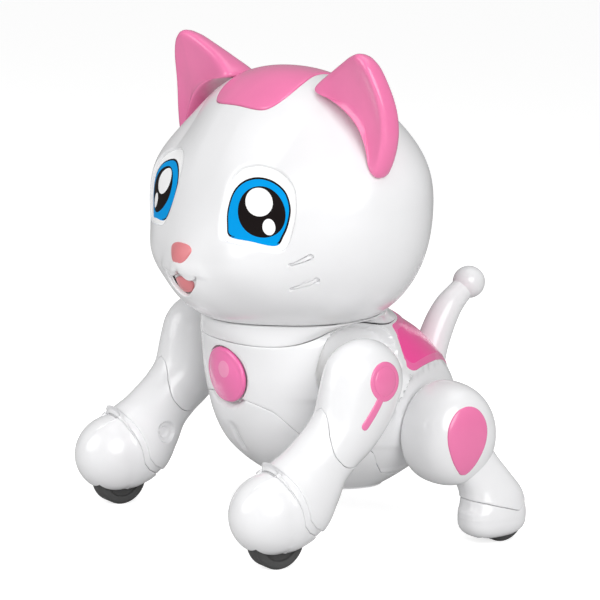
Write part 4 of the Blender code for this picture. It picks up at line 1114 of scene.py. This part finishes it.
def make_collar():
    skin = Skin(collar_surface)
    count = 240
    around = np.linspace(-math.pi, math.pi, count + 1)[:-1]
    low = np.stack([around * COLLAR_TOP_R, collar_foot(around)], -1)
    high = np.stack([around * COLLAR_TOP_R, np.full(count, COLLAR_HEIGHT)], -1)
    points, faces = band(skin, low, high, 8, edge_profile(0.5), edge_profile(0.9, 4), wall=1.2)
    add_piece("collar_skin", points, faces, WHITE, "body", ("neck_collar",), "white_gloss")


# ---------------------------------------------------------------- legs

LEG_X = 58.8
HIND_X = 59.5


def limb_skin(stations, top_dome, end_dome, power=2.0, blunt=1.0):
    """A limb along a path in the side plane. Stations are (x, y, z, half depth, half width)."""
    stations = np.asarray(stations, float)
    last = len(stations) - 1
    step = 10.0

    def point(uv):
        angle, along = uv[:, 0] / 15.0, uv[:, 1] / step
        t = np.clip(along, 0, last)
        row = spline(stations, t)
        ahead = spline(stations, np.clip(t + 0.02, 0, last)) - spline(stations, np.clip(t - 0.02, 0, last))
        way = unit(ahead[:, 1:3])
        over = np.clip(along - last, 0, None) * step / end_dome
        under = np.clip(-along, 0, None) * step / top_dome
        turn = np.clip(np.maximum(over, under), 0, math.pi / 2)
        shift = np.where(over > 0, end_dome, -top_dome) * np.sin(turn)
        size = np.where(over > 0, np.abs(np.cos(turn)) ** blunt, np.cos(turn))
        c, s = np.cos(angle), np.sin(angle)
        wide = row[:, 4] * size * signed_power(c, 2 / power)
        deep = row[:, 3] * size * signed_power(s, 2 / power)
        x = row[:, 0] + wide
        y = row[:, 1] + way[:, 0] * shift + way[:, 1] * deep * -1
        z = row[:, 2] + way[:, 1] * shift + way[:, 0] * deep
        return np.stack([x, y, z], -1)

    skin = Skin(point)
    test = np.array([[0.0, 10.0]])
    centre = np.array([stations[1, 0], *stations[1, 1:3]])
    if ((skin.point(test) - centre) * skin.frame(test)[2]).sum() < 0:
        skin.sign = -1.0
    return skin, (last * step + end_dome * math.pi / 2, -top_dome * math.pi / 2)


ARM = [(LEG_X, -9.8, 70.5, 17.4, 12.6), (LEG_X, -12.5, 62, 16.6, 12.8), (LEG_X, -17, 53, 14.4, 12.4),
       (LEG_X, -23, 46, 13.0, 11.6), (LEG_X, -29, 39.5, 13.4, 11.8), (LEG_X, -34.5, 32.5, 15.6, 13.6),
       (LEG_X, -40, 26.4, 17.8, 15.2), (LEG_X, -45.5, 22.9, 17.5, 15.6), (LEG_X, -50, 21.8, 16.4, 15.2)]
CUFF_LINE = np.array([(-22, 4), (-26, 8.4), (-33.5, 12.3), (-40, 15.4), (-43.6, 19), (-45.6, 25.5),
                      (-48.4, 32), (-52.5, 38.5), (-62, 44)])
AROUND_COUNT = 128
AROUND = np.linspace(-math.pi, math.pi, AROUND_COUNT + 1)[:-1] * 15.0


def make_front_legs():
    skin, (end, start) = limb_skin(ARM, 17.0, 17.6)
    angle = AROUND / 15.0

    def cuff(shift):
        """The cuff line moved towards the elbow."""
        def field(points):
            line = np.interp(points[:, 2] - 0.8 * shift, CUFF_LINE[:, 1], CUFF_LINE[:, 0])
            return points[:, 1] - line - 0.75 * shift
        return crossing(skin, AROUND, field, 42.0, 96.0)

    elbow = elbow_line(angle)
    top = np.stack([AROUND, np.full(AROUND_COUNT, start + 0.4)], -1)
    seam = np.stack([AROUND, elbow], -1)
    lip, edge = cuff(2.8), cuff(0.0)
    rounded_edge = [(d + SEAM, h) for d, h in edge_profile()]
    points, faces = band(skin, top, seam, 40, [(0, 0)], rounded_edge)
    both_sides("upper_arm_{}_skin", points, faces, WHITE, "front_leg_{}", ("upper_arm_{}",),
               slot="white_gloss")
    fore = band(skin, seam, np.stack([AROUND, lip], -1), 80, rounded_edge, edge_profile(0.5), 3.4,
                relief=screw_hole)
    both_sides("forearm_{}_skin", *fore, WHITE, "front_leg_{}", ("forearm_{}",), slot="white_gloss")
    tucked = skin.offset(-0.75)
    inner_edge = [(d + SEAM, h) for d, h in edge_profile(0.3)]
    liner = band(tucked, np.stack([AROUND, lip - 1.0], -1), np.stack([AROUND, edge], -1), 6, None, inner_edge)
    both_sides("cuff_liner_{}", *liner, WHITE, "front_leg_{}", (), slot="white_gloss")
    tip = np.stack([AROUND, np.full(AROUND_COUNT, end - 0.3)], -1)
    foot = solid_band(skin.offset(-0.3), np.stack([AROUND, edge], -1), tip, 30,
                      [(d + SEAM, h) for d, h in edge_profile(0.6)], [(0, 0)])
    paws = both_sides("paw_{}_skin", *foot, WHITE, "front_leg_{}", ("paw_{}",), slot="white_gloss")
    for paw, side in zip(paws, (1, -1)):
        cut_slot(paw, side * LEG_X, FRONT_AXLE[0], 12.6, 5.4, 11.0)
    make_arm_inlay(skin)


def elbow_line(angle):
    """The upper arm's lower edge: a rounded tongue down each flank, high in front."""
    side = np.abs(np.cos(angle))
    front = (1 - np.sin(angle)) / 2
    away = np.sqrt((1 - side) ** 2 + 0.0045) - 0.067
    return 36.0 - (11.0 + 7.0 * front) * away ** 0.75


def screw_hole(points):
    """A counterbored screw hole on the inner flank of the forearm."""
    distance = np.hypot(points[:, 1] + 32.8, points[:, 2] - 31.5)
    return (-1.6 / (1 + np.exp((distance - 4.3) / 0.12)) - 1.4 / (1 + np.exp((distance - 2.4) / 0.12))) \
        * (points[:, 0] < LEG_X - 4)


def cut_slot(piece, x, y, half_length, half_width, top):
    """The slot that the wheel turns in, cut up from the sole."""
    outline = [(x + half_width * c, y + s) for c, s in
               [(-1, -half_length), (1, -half_length), (1, half_length), (-1, half_length)]]
    work = bmesh.new()
    low = [work.verts.new(((p[0] + SHIFT[0]) * MM, (p[1] + SHIFT[1]) * MM, -0.01)) for p in outline]
    high = [work.verts.new(((p[0] + SHIFT[0]) * MM, (p[1] + SHIFT[1]) * MM, top * MM)) for p in outline]
    work.faces.new(low[::-1])
    work.faces.new(high)
    for i in range(4):
        j = (i + 1) % 4
        work.faces.new((low[i], low[j], high[j], high[i]))
    mesh = bpy.data.meshes.new("slot")
    work.to_mesh(mesh)
    work.free()
    cutter = bpy.data.objects.new("slot_cutter", mesh)
    bpy.context.scene.collection.objects.link(cutter)
    bpy.context.view_layer.update()
    change = piece.modifiers.new("slot", "BOOLEAN")
    change.operation = "DIFFERENCE"
    change.object = cutter
    change.solver = "EXACT"
    shape = bpy.data.meshes.new_from_object(piece.evaluated_get(bpy.context.evaluated_depsgraph_get()))
    piece.modifiers.remove(change)
    piece.data = shape
    shape.shade_smooth()
    shape.set_sharp_from_angle(angle=math.radians(40))
    bpy.data.objects.remove(cutter)


def make_arm_inlay(skin):
    raised = skin.offset(0.3)
    origin = (LEG_X + 12, 0.0, 0.0)
    start = (0.0, 5.0)
    disc_at = (-7.2, 72.4)
    disc = circle(disc_at, 7.7, 7.9, 60)
    parts = [("disc", disc, 0.7), ("bar", capsule((-9.6, 66.3), (-16.4, 55.6), 1.75), 0.6)]
    for name, outline, edge in parts:
        loop = raised.project(counterclockwise(outline), origin, (1, 0, 0), start)
        loop = resample(counterclockwise(loop) if skin.sign > 0 else counterclockwise(loop)[::-1], 0.5)
        creases = []
        if name == "disc":
            for radius, depth in ((5.9, 0.0), (5.6, -0.18), (5.3, -0.05)):
                ring = circle(disc_at, radius, radius * 1.03, 50)
                creases.append((raised.project(ring, origin, (1, 0, 0), start), depth, True))
        points, faces, _, _ = patch(raised, Loop(loop, edge_profile(edge, 3)), creases=creases, spacing=0.9,
                                    wall=1.0)
        both_sides(f"arm_inlay_{name}_{{}}", points, faces, PINK, "front_leg_{}",
                   ("arm_inlay_{}",) if name == "disc" else (), slot="pink_gloss")


THIGH_AT = (41.0, 43.6)
THIGH_RINGS = [(40.6, 0.70), (40.7, 0.84), (41.4, 0.915), (43.0, 0.965), (46.0, 0.995), (50.0, 1.0),
               (54.0, 0.985), (57.5, 0.945), (60.5, 0.875), (63.0, 0.76), (64.8, 0.60), (65.8, 0.41),
               (66.3, 0.2), (66.45, 0.01)]     # (x, share of the radii)
THIGH_RADII = (18.8, 21.2)


def thigh_surface(uv):
    row = spline(THIGH_RINGS, uv[:, 1] / 3.0)
    angle = uv[:, 0] / 20.0
    y = THIGH_AT[0] + THIGH_RADII[0] * row[:, 1] * np.cos(angle)
    z = THIGH_AT[1] + THIGH_RADII[1] * row[:, 1] * np.sin(angle) * (1 + 0.04 * np.sin(angle - 0.5))
    return np.stack([row[:, 0], y, z], -1)


THIGH_INLAY = closed_curve([(39.3, 58.2), (33.6, 56.2), (29.8, 50.5), (29.4, 43.5), (32.2, 36.0),
                            (36.4, 30.6), (38.6, 29.6), (41.0, 30.4), (45.2, 36.0), (48.4, 43.5),
                            (48.4, 50.5), (44.8, 56.2)], 6)
SHANK = [(HIND_X - 4.5, 47.5, 37, 9.5, 7.4), (HIND_X - 3, 51.5, 30, 9.8, 8.2),
         (HIND_X - 1.4, 55.2, 23.5, 11.2, 9.0), (HIND_X - 0.4, 57.6, 17.5, 13.9, 9.9),
         (HIND_X, 58.4, 12.5, 15.0, 10.4), (HIND_X, 58.6, 9.0, 15.0, 10.4)]
ANKLE_LINE = np.array([(30, 18.8), (43.3, 18.4), (50, 17.6), (58, 15.7), (65, 13.9), (69, 15.8), (74, 20.5),
                       (90, 30)])


def make_hind_legs():
    skin = Skin(thigh_surface)
    count = 96
    around = np.linspace(-math.pi, math.pi, count + 1)[:-1] * 20.0
    rows = np.linspace(0, 3.0 * (len(THIGH_RINGS) - 1), 44)
    points = skin.point(np.array([(a, v) for v in rows for a in around]))
    faces = grid_faces(len(rows), count)
    faces += [tuple(range(count))[::-1], tuple(range(len(points) - count, len(points)))]
    both_sides("thigh_{}_skin", points, faces, WHITE, "hind_leg_{}", ("thigh_{}",), slot="white_gloss",
               sharp=60)

    def outer(uv_flat):
        """The thigh's outer face as x over (y, z)."""
        gap = uv_flat - np.array(THIGH_AT)
        angle = np.arctan2(gap[:, 1] / THIGH_RADII[1], gap[:, 0] / THIGH_RADII[0])
        away = np.hypot(gap[:, 0] / THIGH_RADII[0],
                        gap[:, 1] / (THIGH_RADII[1] * (1 + 0.04 * np.sin(angle - 0.5))))
        sizes = spline(THIGH_RINGS, np.linspace(5, 13, 200))
        x = np.interp(away, sizes[::-1, 1], sizes[::-1, 0])
        return np.stack([x, uv_flat[:, 0], uv_flat[:, 1]], -1)

    raised = Skin(lambda flat: outer(flat) + [0.35, 0, 0])
    loop = resample(counterclockwise(THIGH_INLAY), 0.7)
    points, faces, _, _ = patch(raised, Loop(loop, edge_profile(0.7, 4)), spacing=1.0, wall=1.0)
    both_sides("thigh_inlay_{}_drop", points, faces, PINK, "hind_leg_{}", ("thigh_inlay_{}",),
               slot="pink_gloss")

    leg, (end, start) = limb_skin(SHANK, 9.0, 7.2, 2.5, 0.6)

    def below_ankle(points):
        return points[:, 2] - np.interp(points[:, 1], ANKLE_LINE[:, 0], ANKLE_LINE[:, 1])

    line = crossing(leg, AROUND, below_ankle, 8.0, 56.0)
    top = np.stack([AROUND, np.full(AROUND_COUNT, start + 0.4)], -1)
    seam = np.stack([AROUND, line], -1)
    shank = band(leg, top, seam, 36, [(0, 0)], [(d + SEAM, h) for d, h in edge_profile(0.5)])
    both_sides("shank_{}_skin", *shank, WHITE, "hind_leg_{}", ("shank_{}",), slot="white_gloss")
    tip = np.stack([AROUND, np.full(AROUND_COUNT, end - 0.3)], -1)
    foot = solid_band(leg.offset(-0.35), seam, tip, 24, [(d + SEAM, h) for d, h in edge_profile(0.5)],
                      [(0, 0)])
    feet = both_sides("foot_{}_skin", *foot, WHITE, "hind_leg_{}", ("foot_{}",), slot="white_gloss")
    for piece, side in zip(feet, (1, -1)):
        cut_slot(piece, side * HIND_X, REAR_AXLE[0], 11.9, 5.2, 9.0)


# ---------------------------------------------------------------- wheels and tail

WHEEL_R = 11.2
WHEEL_HALF = 4.3


def make_wheels():
    def both_ways(half):
        """A profile from its lower half, (radius, distance below the middle)."""
        return [(r, -d) for r, d in half] + [(r, d) for r, d in half[::-1]]

    tyre = rounded(both_ways([(3.0, WHEEL_HALF - 1.2), (7.6, WHEEL_HALF - 1.2), (7.9, WHEEL_HALF),
                              (WHEEL_R - 0.9, WHEEL_HALF), (WHEEL_R, WHEEL_HALF - 0.9)]), 0.35)
    hub = rounded(both_ways([(1.6, WHEEL_HALF - 0.5), (3.2, WHEEL_HALF - 0.5), (3.6, WHEEL_HALF - 1.6),
                             (7.5, WHEEL_HALF - 1.9)]), 0.3)
    for word, x, axle in (("front", LEG_X, FRONT_AXLE), ("rear", HIND_X, REAR_AXLE)):
        body = word + "_roller_{}"
        points, faces = turned(tyre + [tyre[0]], (x, *axle), (1, 0, 0), 72)
        both_sides(word + "_wheel_{}_tyre", points, faces, RUBBER, body, (word + "_wheel_{}",),
                   slot="dark_rubber")
        points, faces = turned(hub + [hub[0]], (x, *axle), (1, 0, 0), 48)
        both_sides(word + "_hub_{}", points, faces, HUB, body, (), slot="dark_rubber")


TAIL = [(67.2, 62.0, 7.4), (69.0, 69.0, 6.9), (71.0, 75.0, 6.7), (73.6, 81.0, 6.4), (77.0, 86.6, 5.9),
        (80.8, 90.6, 5.3), (84.0, 93.6, 5.0)]      # (y, z, radius)
TAIL_BALL = (87.3, 96.3, 6.9)


def make_tail():
    count = 48
    angle = np.linspace(0, 2 * math.pi, count, endpoint=False)[:, None]
    rows = spline(TAIL, np.linspace(0, len(TAIL) - 1, 50))
    centre = np.stack([np.zeros(len(rows)), rows[:, 0], rows[:, 1]], -1)
    way = unit(np.gradient(centre, axis=0))
    stations = list(zip(centre, way, rows[:, 2]))
    ball = np.array([0.0, *TAIL_BALL[:2]])
    end, radius = way[-1], TAIL_BALL[2]
    for turn in np.linspace(-0.92, math.pi / 2 - 0.02, 22):
        stations.append((ball + end * radius * math.sin(turn), end, radius * math.cos(turn)))
    side = np.array([1.0, 0, 0])
    points = np.vstack([c + r * (np.cos(angle) * side + np.sin(angle) * np.cross(w, side))
                        for c, w, r in stations])
    faces = grid_faces(len(stations), count)
    faces += [tuple(range(count))[::-1], tuple(range(len(points) - count, len(points)))]
    if volume(points, faces) < 0:
        faces = [f[::-1] for f in faces]
    add_piece("tail_skin", points, faces, WHITE, "tail", ("tail",), "white_gloss", sharp=70)


def volume(points, faces):
    total = 0.0
    for f in faces:
        a = points[f[0]]
        for i in range(1, len(f) - 1):
            total += np.dot(a, np.cross(points[f[i]], points[f[i + 1]]))
    return total / 6


INNER_MATERIALS = (  # words in a node's name, and what such a node is made of
    (("axle", "hip_pin", "motor_left", "motor_right", "head_motor"), STEEL), (("gear_", "pinion"), GEAR),
    (("main_board",), BOARD), (("battery_cells",), CELL), (("speaker",), PAPER), (("battery_door",), WHITE),
    (("power_switch",), DARK), (("",), SOFT_WHITE))


def finish_inner_nodes():
    """The CAD nodes that stay get the material of what they are."""
    for name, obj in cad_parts.items():
        material = next(made for words, made in INNER_MATERIALS if any(word in name for word in words))
        obj.data.materials.clear()
        obj.data.materials.append(material)


# ---------------------------------------------------------------- stage

CAMERA_TARGET = np.array([0.0, 0.0, 93.0])
CAMERA_BACK_WAY = math.radians(55.0), math.radians(9.0)
CAMERA_ROLL = math.radians(2.67)
CAMERA_DISTANCE = 1102.04


def place_camera():
    around, up = CAMERA_BACK_WAY
    back = np.array([math.sin(around) * math.cos(up), -math.cos(around) * math.cos(up), math.sin(up)])
    right = np.array([math.cos(around), math.sin(around), 0.0])
    above = np.cross(back, right)
    c, s = math.cos(CAMERA_ROLL), math.sin(CAMERA_ROLL)
    right, above = c * right + s * above, c * above - s * right
    camera = bpy.data.objects.new("camera", bpy.data.cameras.new("camera"))
    camera.data.lens = 162.0
    camera.data.sensor_width = 36.0
    camera.data.clip_start = 0.05
    camera.data.clip_end = 20.0
    at = (CAMERA_TARGET + SHIFT + back * CAMERA_DISTANCE) * MM
    rows = [(right[i], above[i], back[i], at[i]) for i in range(3)]
    camera.matrix_world = Matrix(rows + [(0, 0, 0, 1)])
    bpy.context.scene.collection.objects.link(camera)
    bpy.context.scene.camera = camera


def area_light(name, at, target, size, power):
    data = bpy.data.lights.new(name, "AREA")
    data.shape = "ELLIPSE"
    data.size = data.size_y = size
    data.energy = power
    light = bpy.data.objects.new(name, data)
    light.location = at
    light.rotation_euler = (Vector(target) - Vector(at)).to_track_quat("-Z", "Y").to_euler()
    bpy.context.scene.collection.objects.link(light)


def make_stage():
    floor = bpy.data.meshes.new("floor")
    size = 6.0
    corners = [(-size, -size, 0), (size, -size, 0), (size, size, 0), (-size, size, 0)]
    floor.from_pydata(corners, [], [(0, 1, 2, 3)])
    paper = surface_material("floor_paper", (0.62, 0.62, 0.62), 0.9, mottle=0.003)
    seen = paper.node_tree.nodes.new("ShaderNodeLightPath")
    glow = paper.node_tree.nodes.new("ShaderNodeMath")
    glow.operation = "MULTIPLY"
    glow.inputs[1].default_value = 0.75
    paper.node_tree.links.new(seen.outputs["Is Camera Ray"], glow.inputs[0])
    shader = paper.node_tree.nodes["Principled BSDF"]
    paper.node_tree.links.new(glow.outputs[0], shader.inputs["Emission Strength"])
    shader.inputs["Emission Color"].default_value = (1, 1, 1, 1)
    floor.materials.append(paper)
    ground = bpy.data.objects.new("floor", floor)
    bpy.context.scene.collection.objects.link(ground)
    world = bpy.data.worlds.new("studio")
    world.use_nodes = True
    world.node_tree.nodes["Background"].inputs["Color"].default_value = (1, 1, 1, 1)
    sky = world.node_tree.nodes["Background"].inputs["Strength"]
    ray = world.node_tree.nodes.new("ShaderNodeLightPath")
    level = world.node_tree.nodes.new("ShaderNodeMath")
    level.operation = "MULTIPLY_ADD"
    level.inputs[1].default_value = 1.0
    level.inputs[2].default_value = 0.33
    world.node_tree.links.new(ray.outputs["Is Camera Ray"], level.inputs[0])
    world.node_tree.links.new(level.outputs[0], sky)
    bpy.context.scene.world = world
    middle = (0, 0, 0.11)
    for name, at, size, power in (("key", (1.15, -0.35, 0.65), 1.0, 11.5),
                                  ("front", (-0.2, -1.3, 0.7), 1.1, 8.5),
                                  ("above", (0.1, 0.2, 1.4), 1.2, 4.0)):
        area_light(name, at, middle, size, power)
    bpy.context.scene.view_settings.view_transform = "Standard"


make_head()
make_torso()
make_front_legs()
make_hind_legs()
make_wheels()
make_tail()
finish_inner_nodes()
place_camera()
make_stage()
